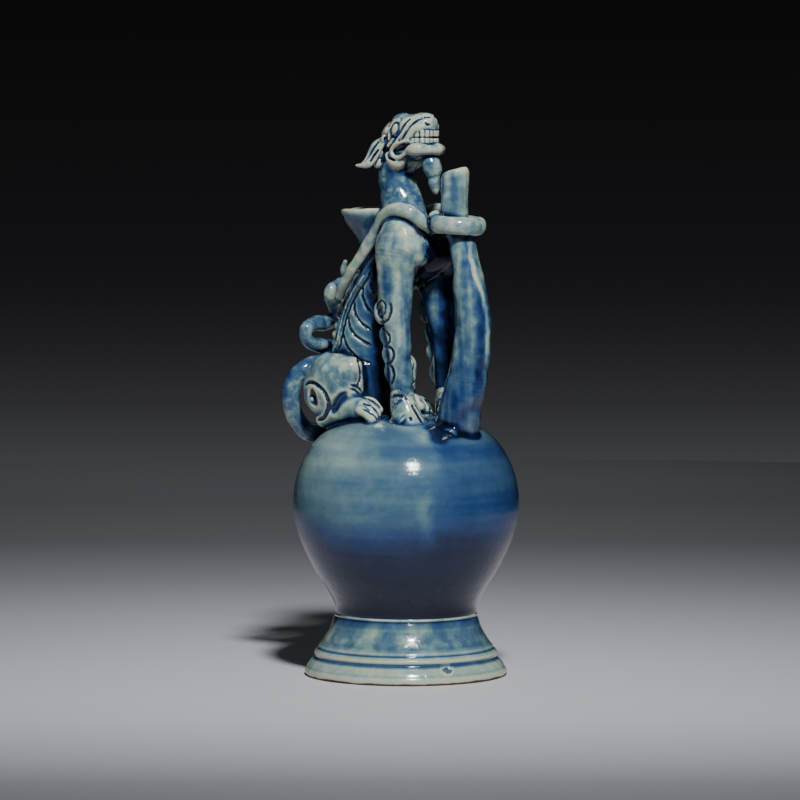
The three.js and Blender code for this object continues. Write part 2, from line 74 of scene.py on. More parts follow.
def seen_along(pixels):
    """The way the photograph's camera looks through each pixel."""
    turn = VIEW_AZIMUTH + VIEW_YAW
    right = np.array([math.cos(turn), math.sin(turn), 0])
    level = np.array([-math.sin(turn), math.cos(turn), 0])
    ahead = level * math.cos(VIEW_PITCH) - np.array([0, 0, math.sin(VIEW_PITCH)])
    up = np.cross(right, ahead)
    middle = VIEW_PIXELS / 2
    offsets = np.asarray(pixels, float) - middle
    rays = ahead * VIEW_FOCAL + offsets[:, :1] * right - offsets[:, 1:] * up
    return rays / np.linalg.norm(rays, axis=1, keepdims=True)


# Clay: a form is a list of parts, each with its box and its distance function

FAR = 9.0  # distances past this aren't kept
NONZERO = 1e-6
SLOPE_LEAST = 0.3  # keeps the distance to a very oval coil from growing too fast
SPACING_LEAST, SPACING_MOST = 0.4, 1.2  # how close the points along a coil lie, closer on a thin one
SPACING_GAIN = 0.1
SHEET_SPACING = 1.5
SHEET_ROOM, LEAN_ROOM, PRESS_ROOM = 1, 2, 0.5  # what the box of a sheet, its lean and a cut has to spare
GRID_EDGE = 1.001  # keeps a place that is looked up inside the grid's last cell
AIR_LEAST = 0.2  # how far from the clay a skin takes the rim of its field to be


def soft_min(a, b, k):
    """The lesser of two distances, with a soft join where they are less than k apart."""
    h = np.maximum(k - np.abs(a - b), 0)
    return np.minimum(a, b) - h * h / (4 * k)


def soft_max(a, b, k):
    return -soft_min(-a, -b, k)


def smooth_rows(rows, spacing=SPACING_MOST):
    """Points along a smooth line through rows of numbers, of which the first three are the place."""
    rows = np.asarray(rows, float)
    ends = np.vstack([2 * rows[0] - rows[1], rows, 2 * rows[-1] - rows[-2]])
    out = []
    for i in range(len(rows) - 1):
        p0, p1, p2, p3 = ends[i : i + 4]
        steps = max(2, int(np.linalg.norm((p2 - p1)[:3]) / spacing))
        for t in np.arange(steps)[:, None] / steps:
            out.append(0.5 * (2 * p1 + (p2 - p0) * t + (2 * p0 - 5 * p1 + 4 * p2 - p3) * t * t
                              + (3 * p1 - p0 - 3 * p2 + p3) * t ** 3))
    return np.vstack(out + [rows[-1]])


def coil(rows, spacing=None):
    """A round or oval roll of clay: rows of place, half depth and, where it isn't round, half breadth."""
    rows = np.array([(*r, r[3])[:5] for r in rows], float)
    points = smooth_rows(rows, spacing or min(SPACING_MOST, SPACING_LEAST + SPACING_GAIN * rows[:, 3].mean()))
    parts = []
    for a, b in zip(points, points[1:]):
        reach = max(*a[3:], *b[3:])
        low = np.minimum(a[:3], b[:3]) - reach
        high = np.maximum(a[:3], b[:3]) + reach

        run, grow, oval = b[:3] - a[:3], b[3] - a[3], (a[3] + b[3]) / (a[4] + b[4])

        def distance(x, y, z, a=a, run=run, grow=grow, oval=oval):
            dx, dy, dz = x - a[0], y - a[1], z - a[2]
            t = np.clip((dx * run[0] + dy * run[1] + dz * run[2]) / max(run @ run, NONZERO), 0, 1)
            dx, dy, dz = dx - t * run[0], (dy - t * run[1]) * oval, dz - t * run[2]
            flat = dx * dx + dz * dz
            length = np.sqrt(flat + dy * dy) + NONZERO
            slope = np.sqrt(flat + (dy * oval) ** 2) / length
            return (length - a[3] - t * grow) / np.maximum(slope, SLOPE_LEAST)

        parts.append((low, high, distance))
    return parts


def ball(centre, half, pitch=0.0, yaw=0.0):
    """An egg with three half sizes, pitched nose up and then turned about the upright axis."""
    centre, half = np.array(centre, float), np.array(half, float)
    c, s, cy, sy = math.cos(pitch), math.sin(pitch), math.cos(yaw), math.sin(yaw)
    reach = half.max()

    def distance(x, y, z):
        dx, dy, dz = x - centre[0], y - centre[1], z - centre[2]
        dx, dy = cy * dx + sy * dy, cy * dy - sy * dx
        dx, dz = c * dx + s * dz, c * dz - s * dx
        near = np.sqrt((dx / half[0]) ** 2 + (dy / half[1]) ** 2 + (dz / half[2]) ** 2) + NONZERO
        steep = (dx / half[0] ** 2) ** 2 + (dy / half[1] ** 2) ** 2 + (dz / half[2] ** 2) ** 2
        slope = np.sqrt(steep) + NONZERO
        return near * (near - 1) / slope

    return [(centre - reach, centre + reach, distance)]


def sheet_turned(axis, profile, half, wave=None):
    """A wall of clay along a profile of radii and heights, turned about an upright or leaning axis."""
    profile = smooth_rows([(r, 0, z, half) for r, z in profile], SHEET_SPACING)
    base, lean = np.array(axis[0], float), np.array(axis[1], float)
    reach = profile[:, 0].max() + half + SHEET_ROOM
    across = np.array([reach + LEAN_ROOM, reach])
    low = np.array([*(base[:2] - across), profile[:, 2].min() - half - SHEET_ROOM])
    high = np.array([*(base[:2] + across), profile[:, 2].max() + half + SHEET_ROOM])

    def distance(x, y, z):
        dx = x - base[0] - (z - base[2]) * lean[0]
        dy = y - base[1] - (z - base[2]) * lean[1]
        r = np.sqrt(dx * dx + dy * dy)
        h = z + (wave(np.arctan2(dy, dx)) if wave else 0)
        near = np.full(np.broadcast(r, h).shape, FAR, np.float32)
        for a, b in zip(profile, profile[1:]):
            run = b[[0, 2]] - a[[0, 2]]
            t = np.clip(((r - a[0]) * run[0] + (h - a[2]) * run[1]) / (run @ run), 0, 1)
            near = np.minimum(near, np.hypot(r - a[0] - t * run[0], h - a[2] - t * run[1]) - half)
        return near

    return [(low, high, distance)]


def mirrored(rows, sign):
    """Rows of the left side, or their mirror image on the right where the sign is negative."""
    return [(x, sign * y, *rest) for x, y, *rest in rows]


def box_of(parts):
    """The box round all of a form's parts."""
    return np.min([part[0] for part in parts], axis=0), np.max([part[1] for part in parts], axis=0)


def within(window, part):
    """Where a part of a window lies in it."""
    return tuple(slice(p.start - w.start, p.stop - w.start) for p, w in zip(part, window))


def blank(window):
    """A field over a window, with no clay near."""
    return np.full([w.stop - w.start for w in window], FAR, np.float32)


class Block:
    """A grid of points over a box of space, with the distance to the clay at each."""

    def __init__(self, low, high, cell):
        self.cell = cell
        self.first = np.floor(np.array(low) / cell).astype(int)
        self.shape = tuple(np.ceil(np.array(high) / cell).astype(int) - self.first + 1)
        self.clay, self.nearest, self.second = (np.full(self.shape, FAR, np.float32) for _ in range(3))
        self.own = {}

    def window(self, low, high, margin):
        """The part of the grid that a box and its margin take up, if they reach the grid."""
        start = np.floor((np.array(low) - margin) / self.cell).astype(int) - self.first
        stop = np.ceil((np.array(high) + margin) / self.cell).astype(int) - self.first + 1
        start, stop = np.clip(start, 0, self.shape), np.clip(stop, 0, self.shape)
        return tuple(slice(a, b) for a, b in zip(start, stop)) if (stop > start).all() else None

    def places(self, window):
        axes = [((np.arange(w.start, w.stop) + first) * self.cell).astype(np.float32)
                for w, first in zip(window, self.first)]
        return axes[0][:, None, None], axes[1][None, :, None], axes[2][None, None, :]

    def measure(self, form, margin):
        """The form's window and its distances there."""
        window = self.window(*box_of(form), margin)
        if window is None:
            return None, None
        field = blank(window)
        for low, high, distance in form:
            part = self.window(low, high, margin)
            if part is not None:
                inner = within(window, part)
                field[inner] = np.minimum(field[inner], distance(*self.places(part)))
        return window, field

    def lay(self, name, forms, between, onto, margin=4.0):
        """Presses a piece's forms onto the clay that is there, and keeps the piece's own distances."""
        window = self.window(*box_of([part for form in forms for part in form]), margin)
        if window is None:
            return
        own = blank(window)
        for form in forms:
            spot, field = self.measure(form, margin)
            if spot is not None:
                inner = within(window, spot)
                own[inner] = soft_min(own[inner], field, between)
        self.own[name] = (window, own)
        self.clay[window] = soft_min(self.clay[window], own, onto)
        self.second[window] = np.minimum(self.second[window], np.maximum(self.nearest[window], own))
        self.nearest[window] = np.minimum(self.nearest[window], own)

    def press(self, form, blend=0.5, add=False):
        """Cuts a form out of the clay, or adds it, with a soft edge."""
        window, field = self.measure(form, blend + PRESS_ROOM)
        if window is not None:
            clay = self.clay[window]
            self.clay[window] = soft_min(clay, field, blend) if add else soft_max(clay, -field, blend)

    def sample(self, field, points):
        """A field's values at points, blended between the grid's points."""
        spot = points / self.cell - self.first
        spot = np.clip(spot, 0, np.array(self.shape) - GRID_EDGE)
        base = spot.astype(int)
        part = spot - base
        total = np.zeros(len(points))
        for corner in np.ndindex(2, 2, 2):
            weight = np.prod(np.where(corner, part, 1 - part), axis=1)
            total += weight * field[tuple((base + corner).T)]
        return total

    def slope_at(self, points, reach=0.75):
        """The direction out of the clay at points."""
        slope = np.stack([self.sample(self.clay, points + step) - self.sample(self.clay, points - step)
                          for step in np.eye(3) * self.cell * reach], axis=1)
        return slope / np.maximum(np.linalg.norm(slope, axis=1, keepdims=True), NONZERO)

    def surface_under(self, pixels, reach=70.0, step=0.3):
        """The points of the clay that the photograph shows at these pixels, where there is clay."""
        depths = VIEW_DISTANCE - reach + np.arange(0, 2 * reach, step)
        points = VIEW_EYE + seen_along(pixels)[:, None, :] * depths[None, :, None]
        spot = np.round(points / self.cell).astype(int) - self.first
        inside = ((spot >= 0) & (spot < np.array(self.shape))).all(axis=2)
        spot = np.clip(spot, 0, np.array(self.shape) - 1)
        hit = (self.clay[tuple(np.moveaxis(spot, 2, 0))] < 0) & inside
        found = hit.any(axis=1)
        first = hit.argmax(axis=1)
        return points[np.arange(len(points)), first][found]


def blurred(field, reach, cell):
    """The mean of a field over a box that reaches this far each way."""
    n = max(1, round(reach / cell))
    for axis in range(3):
        before, past = np.take(field, [0] * (n + 1), axis), np.take(field, [-1] * n, axis)
        padded = np.concatenate([before, field, past], axis)
        sums = np.cumsum(padded, axis=axis, dtype=np.float64)
        length = field.shape[axis]
        ahead = np.take(sums, range(2 * n + 1, 2 * n + 1 + length), axis)
        behind = np.take(sums, range(length), axis)
        field = ((ahead - behind) / (2 * n + 1)).astype(np.float32)
    return field


def skin_of(field):
    """A closed skin of quads on the zero level of a field: points in grid steps, and faces."""
    field = field.copy()
    for axis in range(3):
        for end in (0, -1):
            face = [slice(None)] * 3
            face[axis] = end
            field[tuple(face)] = np.maximum(field[tuple(face)], AIR_LEAST)
    inside = field < 0
    count = np.zeros([n - 1 for n in field.shape], np.int8)
    for corner in np.ndindex(2, 2, 2):
        count += inside[tuple(slice(c, n - 1 + c) for c, n in zip(corner, field.shape))]
    cells = np.argwhere((count > 0) & (count < 8))
    number = np.full(count.shape, -1, np.int32)
    number[tuple(cells.T)] = np.arange(len(cells))
    total, hits = np.zeros((len(cells), 3)), np.zeros(len(cells))
    for axis in range(3):
        for corner in np.ndindex(2, 2, 2):
            if corner[axis]:
                continue
            other = np.array(corner)
            other[axis] = 1
            a, b = field[tuple((cells + corner).T)], field[tuple((cells + other).T)]
            crossed = (a < 0) != (b < 0)
            share = np.where(crossed, a / np.where(crossed, a - b, 1), 0)
            place = np.array(corner, float) + share[:, None] * (other - corner)
            total += place * crossed[:, None]
            hits += crossed
    faces = []
    for axis in range(3):
        b, c = (axis + 1) % 3, (axis + 2) % 3
        low = [slice(1, -1)] * 3
        high = [slice(1, -1)] * 3
        low[axis], high[axis] = slice(0, -1), slice(1, None)
        start, stop = inside[tuple(low)], inside[tuple(high)]
        edges = np.argwhere(start != stop)
        outward = start[tuple(edges.T)]
        base = edges + 1
        base[:, axis] -= 1
        ring = []
        for db, dc in ((1, 1), (0, 1), (0, 0), (1, 0)):
            cell = base.copy()
            cell[:, b] -= db
            cell[:, c] -= dc
            ring.append(number[tuple(cell.T)])
        quads = np.stack(ring, axis=1)
        quads[~outward] = quads[~outward][:, ::-1]
        faces.append(quads)
    return cells + total / hits[:, None], np.concatenate(faces)


def object_of(mesh, relief):
    """Writes the relief onto a mesh, and puts it in the scene as an object of the mesh's name."""
    for title, values in relief.items():
        mesh.attributes.new(title, "FLOAT", "POINT").data.foreach_set("value", values.astype(np.float32))
    piece = bpy.data.objects.new(mesh.name, mesh)
    bpy.context.scene.collection.objects.link(piece)
    return piece


def skin_object(node, points, faces, relief):
    """A smooth object from points in millimetres and faces of four corners."""
    mesh = bpy.data.meshes.new("glazed_" + node)
    mesh.vertices.add(len(points))
    mesh.vertices.foreach_set("co", (points * MM).astype(np.float32).ravel())
    mesh.loops.add(faces.size)
    mesh.loops.foreach_set("vertex_index", faces.astype(np.int32).ravel())
    mesh.polygons.add(len(faces))
    mesh.polygons.foreach_set("loop_start", np.arange(0, faces.size, 4, dtype=np.int32))
    mesh.polygons.foreach_set("use_smooth", np.ones(len(faces), bool))
    mesh.update(calc_edges=True)
    mesh.validate()
    return object_of(mesh, relief)


def turned_object(node, points, faces, relief):
    """A smooth object of a turned body, from points in millimetres."""
    mesh = bpy.data.meshes.new("glazed_" + node)
    mesh.from_pydata((points * MM).tolist(), [], faces)
    mesh.polygons.foreach_set("use_smooth", np.ones(len(mesh.polygons), bool))
    mesh.update()
    return object_of(mesh, relief)


# Forms of the beast, on its left side where they are paired. A coil's rows are places along it, each with
# the half depth there and, where the coil isn't round, the half breadth. An egg has its centre and its
# half sizes.

TORSO = [(-25, 0, 112, 17, 17), (-25, 0, 136, 17, 17.5), (-23.5, 0, 153, 14.5, 16), (-19.5, 0, 170, 13, 14.3),
         (-11.5, 0, 184, 12.4, 14.3), (-0.5, 0, 194, 13.3, 15), (9, 0, 197.4, 11.6, 14)]
NECK = [(3, 0, 202, 12.5, 12), (-0.5, 0, 211, 11.2), (-1.5, 0, 218.7, 10.2), (-3.7, 0, 225.7, 9.3),
        (-5.4, 0, 232.2, 8.6), (-4.5, 0, 240, 8.4)]
CREST = [(-21, 0, 190, 2, 1.5), (-28, 0, 183.5, 2.7, 1.7), (-33, 0, 176.5, 3, 1.8),
         (-36.3, 0, 168.5, 3.2, 1.8), (-38.8, 0, 160, 3.2, 1.8), (-40.3, 0, 151.5, 3, 1.8),
         (-40.8, 0, 146, 2.4, 1.6)]
TAIL = [(-36, 8, 116, 4), (-42, 2, 111.5, 4.2), (-48.1, -12, 112.1, 4.3), (-51.1, -17, 117.2, 4.3),
        (-52.2, -20, 123.9, 4.4), (-51.7, -21, 131.5, 4.4), (-50.1, -19, 138.7, 4.2),
        (-47.3, -14, 143.2, 4.1), (-44.9, -5.5, 145.4, 3.9), (-45.9, 2.5, 148.1, 3.5), (-48.1, 3, 151.4, 3.4),
        (-47.7, -5, 152.4, 3.3), (-47.8, -12, 154, 3.4), (-48.3, -15, 157.2, 3.5), (-48, -14, 160.9, 3.6),
        (-48, -8, 162.9, 3.5), (-47.9, -1, 162.6, 3.4), (-47.1, 4, 163.9, 3.1), (-45.6, 4, 168.2, 2.8),
        (-44.2, 0, 172.2, 2.7), (-42.7, -4, 176.1, 2.7), (-41.4, -4, 179.7, 2.6), (-41.1, 0, 181.9, 2.3),
        (-40.2, 3, 184.3, 2.1), (-39, 2, 188.3, 1.9), (-37, 1, 191.9, 1.3)]
FORELEG = [(8.8, 14.5, 124, 5.3, 5.4), (8.6, 14.5, 133, 5.2, 5.3), (7.8, 14.5, 148, 5.1, 5.2),
           (6.6, 14.5, 163, 6.2, 6), (5.2, 14.4, 175, 7.7, 6.8), (4.6, 14.2, 185, 9.1, 7.6),
           (5, 13.8, 194.7, 10.6, 8.4), (5.6, 13, 201, 11.3, 8.2), (4.5, 12.5, 206, 8.4, 6.6)]
FORE_PAW = [(9.4, 14.5, 131, 5.2, 5.2), (10.4, 14.5, 125, 6.1, 6.2), (11.8, 14.5, 120.5, 7, 7.2),
            (15, 14.6, 118.4, 5, 7)]
HAUNCH_CENTRE = (-27.4, 20, 134.4)
HAUNCH_HALF = (16, 10.5, 15.5)
HAUNCH_PITCH = math.radians(35)
KNEE = [(-21.4, 21, 139.4, 8.6, 7.6), (-16.8, 20.6, 143.4, 5.4, 6.2)]
HIND_PAW = [(-31, 21.6, 119, 4, 5), (-22, 21.2, 122.4, 5.6, 6.2), (-15.4, 20.6, 124.8, 6, 6.6),
            (-9.4, 20.4, 124.4, 5, 6.6)]
PECTORAL = ((13, 9.5, 198.5), (5.6, 5.6, 7))
FAR_LEG_LEAN = ((118, 148, 170, 200), (4.6, 3.4, 3, 0))  # heights, and how far forward the left leg stands
TOES = 4
HIND_TOE = [(-13, 20.6, 127, 2.4), (-7, 20.4, 125.6, 2.5), (-2.2, 20.2, 122.4, 2.1)]
HIND_TOE_SPREAD = [(0, 2, -0.8), (0.5, 3, -1.3), (1, 3.2, -1.2)]  # how much further aside the next toe lies
CREST_LOBE = (2, 1.5, 2)
CREST_LOBE_SHIFT = np.array((-0.6, 0, 0.6))
CREST_LOBE_SPACING = 4.4
TUFT_DISC = ((-2.4, 14.8, 169.6), (4.6, 2.6, 5.8))
TUFTS = [[(3.5, 14.5, 163.5, 2.6, 1.8), (-0.5, 14.6, 160, 3.2, 1.8), (1, 14.6, 154.5, 2.8, 1.8)],
         [(4, 14.5, 155, 2.6, 1.8), (0.8, 14.6, 151, 3.2, 1.8), (2.4, 14.6, 146.5, 2.6, 1.8)],
         [(5, 14.5, 146, 2.6, 1.8), (2, 14.6, 141.5, 3.1, 1.8), (4.6, 14.6, 135.5, 2.2, 1.8)]]
STRAP = [(18.1, 6, 208.7, 2.6), (17.2, 10, 211.5, 3), (13.1, 13, 215.6, 3.1), (8, 14.5, 216.8, 3.1),
         (2.1, 14.5, 215.8, 3.1), (-3.9, 13.5, 211.6, 3), (-10.3, 12, 204.4, 2.9), (-16.6, 11.4, 196.1, 2.8),
         (-22.2, 12, 189, 2.7), (-27.8, 10.8, 182.6, 2.6), (-33, 8, 176.5, 2.2)]
SPOUT = [(29.3, 0, 111, 9.5), (32.1, 0, 126.7, 10), (35.4, 0, 136.1, 9.6), (36.8, 0, 145.3, 8.7),
         (38, 0, 152.8, 8.7), (39.2, 0, 165.7, 8.2), (37.6, 0, 178, 7.7), (35.6, 0, 190, 6.7),
         (32.8, 0, 201, 6.2), (30.2, 0, 208.4, 6.2), (28.3, 0, 215.3, 6.4), (28.3, 0, 228, 6.5),
         (28.3, 0, 241, 6.7)]
SPOUT_PARTING = 10  # the tip starts at this row
SPOUT_WALL = 2.2
BORE_END = (28.3, 0, 238, 4.4)
FUNNEL_BORE = [(-22.4, 0, 204, 2.6), (-22, 0, 196, 2.4), (-21.4, 0, 170, 2.4)]
LIP = (28.3, 0, 235.6)
LIP_TILT = math.radians(17)
COLLAR_CENTRE = (30.1, 0, 210.2)
COLLAR_RADIUS = 9.6
COLLAR_HALF = (3.4, 4.2)
COLLAR_TILT = 0.05
KNOT = [((22.2, -6, 213.4), (3.5, 3.2, 3.4)), ((19.8, -4.5, 209.4), (2.8, 3, 4))]
FUNNEL_RIM = (-22.9, 0, 216.0)
FUNNEL_LEAN = (-0.0875, 0)
# The funnel's wall from the rim down: radii and heights
FUNNEL = [(12.1, 216), (11.3, 213.7), (9.2, 210.8), (6.8, 207.2), (4.6, 203.2), (3.6, 199.4), (3.4, 192),
          (3.6, 184)]
FUNNEL_HALF_WALL = 1.15
RIM_WAVES = ((0.45, 2, 0.6), (0.25, 3, -1))  # the waves in the funnel's rim: height, number and start


def below_lip(form, soft=3.6):
    """A form cut off along the slanted plane of the spout's lip, with a rounded edge."""
    s, c = math.sin(LIP_TILT), math.cos(LIP_TILT)

    def cut(distance):
        return lambda x, y, z: soft_max(distance(x, y, z), c * (z - LIP[2]) - s * (x - LIP[0]), soft)

    return [(low, high, cut(distance)) for low, high, distance in form]


def ring(centre, radius, half, tilt):
    """A coil closed round an upright tube."""
    centre = np.array(centre, float)
    reach = np.array([radius + half[0], radius + half[0], half[1] + tilt * radius])

    def distance(x, y, z):
        dx, dy = x - centre[0], y - centre[1]
        r = np.sqrt(dx * dx + dy * dy) - radius
        h = z - centre[2] + tilt * dx
        near = np.sqrt((r / half[0]) ** 2 + (h / half[1]) ** 2) + NONZERO
        slope = np.sqrt((r / half[0] ** 2) ** 2 + (h / half[1] ** 2) ** 2) + NONZERO
        return near * (near - 1) / slope

    return [(centre - reach, centre + reach, distance)]


def hind_toe(i):
    aside = i - (TOES - 1) / 2
    return [(x + aside * dx, y + aside * dy, z + aside * dz, half)
            for (x, y, z, half), (dx, dy, dz) in zip(HIND_TOE, HIND_TOE_SPREAD)]


def rim_wave(angle):
    return sum(height * np.sin(count * angle + start) for height, count, start in RIM_WAVES)


# Forms of the head

SKULL = ((-2, 0, 249.5), (10.5, 8.8, 9.8))
SNOUT = [(-2, 0, 250.5, 8.6, 8.6), (4, 0, 254, 7, 8), (9, 0, 256, 5.4, 7.4), (12, 0, 256.6, 4.4, 6.2),
         (13.2, 0, 256.2, 3.6, 5.2)]
KNOB = ((-1.2, 0, 257), (4.6, 6.4, 4.4))
EYE = ((-0.2, 7.9, 253.8), (1.9, 1.9, 3))
EYE_PITCH = math.radians(-20)
BROW = [(-3.4, 8.2, 249.6, 0.9), (-3.4, 7.8, 253, 1), (-2.2, 7, 256.4, 0.9), (0.6, 6.2, 257.8, 0.7)]
EYE_RIM = [(2.6, 8, 249.6, 0.9), (3.2, 7.7, 253.2, 1), (4, 6.8, 256.4, 1), (5.6, 5, 258.6, 0.8)]
OUTER_RIDGE = [(0.8, 8.8, 246.8, 1), (3, 8.6, 250, 1), (5.6, 7.6, 254, 1.05), (8, 5.8, 257.4, 1.05),
               (10.4, 3.4, 259.8, 0.9)]
UPPER_LIP = [(6.2, 7.8, 248.8, 1.5), (8, 7.2, 251.4, 2.3), (10, 6.2, 254, 2.7), (12.4, 4.8, 255, 2.6),
             (13.6, 3, 254.6, 2.4), (14.4, 0, 254.4, 2.3)]
NOSE_TOP = [(4.6, 0, 258.2, 2.6, 5), (9, 0, 259, 2.6, 5)]
NOSE = ((11.6, 0, 255.6), (5.4, 5.6, 6))
GUM = [(8, 6.6, 253.4, 1.8), (12, 5, 254.2, 2.2), (13.6, 0, 254.4, 2.4, 4)]
JAW = [(-3, 0, 243, 4.6, 7.4), (6, 0, 243.6, 3.6, 7.2), (13, 0, 244, 3.2, 6.4), (18, 0, 244.4, 3, 4.6)]
LOWER_LIP = [(8, 8.2, 244.4, 1.7), (11, 8, 244.8, 2.6), (13.4, 7.1, 244.9, 2.9), (16.4, 4.6, 244.6, 2.6),
             (18.1, 0, 244.8, 3)]
MOUTH_CORNER = [(7.9, 8.6, 248.8, 0.8), (3.6, 9.2, 247.9, 0.85), (0.2, 9.3, 246.4, 0.9),
                (-1.6, 9.1, 243.8, 0.95), (0, 8.9, 241.2, 0.95), (3.4, 8.8, 241.2, 0.9),
                (6.8, 8.8, 243.4, 0.85), (9.6, 8.6, 245.8, 0.8), (13, 7.6, 247.4, 0.7)]
CHEEK_RIDGE = [(0.4, 8.4, 238.6, 0.7), (-3, 8.8, 240, 0.8), (-4.6, 9, 243, 0.9), (-3.4, 9, 246.6, 0.9),
               (-0.6, 8.8, 249.4, 0.9), (2.2, 8.4, 252.6, 0.8)]
CHEEK = [(-3.6, 6.6, 242, 2.6), (-1.6, 6.8, 239.4, 3.2), (1, 6.6, 238.6, 2.8), (3, 6.2, 241, 2)]
THROAT = [(-4, 0, 240, 7.4, 7.2), (2, 0, 240.6, 4.6, 6)]
# The mane's tufts share their place aside, half breadth and pitch. Each has its X, height, half depth and
# half height.
MANE_ASIDE, MANE_HALF, MANE_PITCH = 8.6, 1.6, math.radians(-25)
MANE_TUFTS = [(-4.6, 253.4, 1.3, 2.2), (-6.2, 250, 1.4, 2.3), (-8.8, 246.4, 1.4, 2.6),
              (-8.2, 242.6, 1.4, 2.4), (-11.4, 241.4, 1.5, 2.4), (-9.2, 238.6, 1.5, 2.4)]
MANE_BACK = [[(-10, 4, 247, 2.8), (-12.4, 4.6, 242, 2.6), (-13, 4.4, 238, 1.6)],
             [(-9, 2, 240, 2.8), (-11.2, 2.2, 235, 2), (-11.4, 2, 231.6, 1)]]
EAR = [(-7.8, 8, 248.2, 2.2, 1.6), (-9.8, 9.6, 245.2, 3.3, 1.7), (-11.6, 10.8, 241.6, 3.3, 1.6),
       (-13.4, 11.8, 238.8, 2.5, 1.5), (-16, 12.6, 237.4, 1.2, 1.1), (-18.8, 13.2, 237.4, 0.6, 0.6)]
EAR_FOLDS = [[(-8.4, 10, 248, 0.4), (-10.4, 11.3, 245, 0.55), (-12.4, 12.4, 241.6, 0.55),
              (-14.6, 13.2, 239.2, 0.4)],
             [(-8.2, 10.4, 244.4, 0.4), (-9.8, 11.4, 242, 0.5), (-11.2, 12.2, 239.4, 0.4)]]
BEARD = [(14.6, 0, 241.2, 4), (14.8, 0, 238.4, 4.8), (15.8, 0, 235.4, 4.4), (16.6, 0, 232.8, 3.1),
         (16.8, 0, 229.6, 3.1), (17.2, 0, 226.8, 2.2), (17.5, 0, 225, 1.1)]
TEETH_ARC = (8.2, 8.4, 7.2)  # where the arc's centre is along X, and its reach along X and Y
TOOTH_ANGLES = np.radians(np.arange(-82, 83, 16.4))
UPPER_TEETH = (250.4, 253.8)
LOWER_TEETH = (247.4, 250.2)
TOOTH_HALF = (1.15, 1.1)  # half its depth and half its breadth
TOOTH_ROOM = 1
TOOTH_EDGE = 0.28  # how round a tooth's edges are
TOOTH_INSET, TOOTH_TURN = 0.8, 1.2  # how far a smaller tooth stands back, and how far it turns
GUM_COIL, ROOT_COIL = (0.5, 0.9), (1.1, 1.7)  # how far inside the arc they lie, and their half depths
TOOTH_SIZES = (1, 0.92, 1.04, 0.96, 1.05, 1, 1.06, 0.94, 1.02, 0.95, 1)  # no two neighbours are alike


def on_tooth_arc(angle, inset=0.0):
    x, deep, broad = TEETH_ARC
    return x + (deep - inset) * math.cos(angle), (broad - inset) * math.sin(angle)


def tooth(angle, size, low, high):
    """A squarish tooth that faces out of the mouth."""
    x, y = on_tooth_arc(angle, TOOTH_INSET * (1 - size))
    middle, half = (low + high) / 2, (high - low) / 2
    lean = angle + TOOTH_TURN * (size - 1)
    c, s = math.cos(lean), math.sin(lean)

    def distance(px, py, pz):
        dx, dy = px - x, py - y
        out, along, up = np.abs(c * dx + s * dy), np.abs(c * dy - s * dx), np.abs(pz - middle)
        past = (out - TOOTH_HALF[0], along - TOOTH_HALF[1], up - half)
        a, b, d = (np.maximum(p + TOOTH_EDGE, 0) for p in past)
        inner = np.minimum(np.maximum(np.maximum(past[0], past[1]), past[2]) + TOOTH_EDGE, 0)
        return np.sqrt(a * a + b * b + d * d) + inner - TOOTH_EDGE

    centre = np.array([x, y, middle])
    reach = half + TOOTH_ROOM
    return [(centre - reach, centre + reach, distance)]


def teeth(levels, gum_level):
    """A row of teeth in its gum."""
    coils = [coil([(*on_tooth_arc(angle, inset), level, half) for angle in TOOTH_ANGLES])
             for level, (inset, half) in ((gum_level, GUM_COIL), (sum(levels) / 2, ROOT_COIL))]
    return coils + [tooth(angle, size, *levels) for angle, size in zip(TOOTH_ANGLES, TOOTH_SIZES)]


def head_forms():
    forms = [ball(*SKULL), coil(SNOUT), coil(NOSE_TOP), ball(*NOSE), coil(THROAT)]
    for sign in SIDES.values():
        for rows in (GUM, UPPER_LIP, OUTER_RIDGE, EYE_RIM, BROW, MOUTH_CORNER, CHEEK_RIDGE, CHEEK):
            forms.append(coil(mirrored(rows, sign)))
    return forms


def mane_forms(sign):
    tufts = [ball((x, sign * MANE_ASIDE, z), (deep, MANE_HALF, tall), MANE_PITCH)
             for x, z, deep, tall in MANE_TUFTS]
    return tufts + [coil(mirrored(rows, sign)) for rows in MANE_BACK]


def paired(kind, side):
    return f"{kind}_{side}"


def kind_of(name):
    """What a paired piece shares with the one on the other side."""
    return name.removesuffix("_right").removesuffix("_left")


# How softly the forms of each piece, or kind of piece, join each other, and how softly the piece joins what
# it is luted to
SOFTNESS = {
    "torso": (1, 3), "neck": (1, 3), "haunch": (3, 2), "hind_paw": (0.5, 1.6), "foreleg": (3, 2),
    "fore_paw": (1, 1.2), "leg_tufts": (1, 2.6), "spout": (1, 0.8), "spout_tip": (1, 0.4),
    "spout_collar": (0.6, 0.5), "head": (0.8, 2), "lower_jaw": (1, 0.4), "forehead_knob": (1, 0.8),
    "upper_teeth": (0.1, 0.2), "lower_teeth": (0.1, 0.2), "beard": (1, 0.5), "eye": (1, 0.15),
    "ear": (1, 0.8), "mane_curls": (0.3, 0.5), "funnel": (1, 1.6), "shoulder_strap": (1, 0.5),
    "back_crest": (0.7, 0.8), "tail": (1, 1),
}


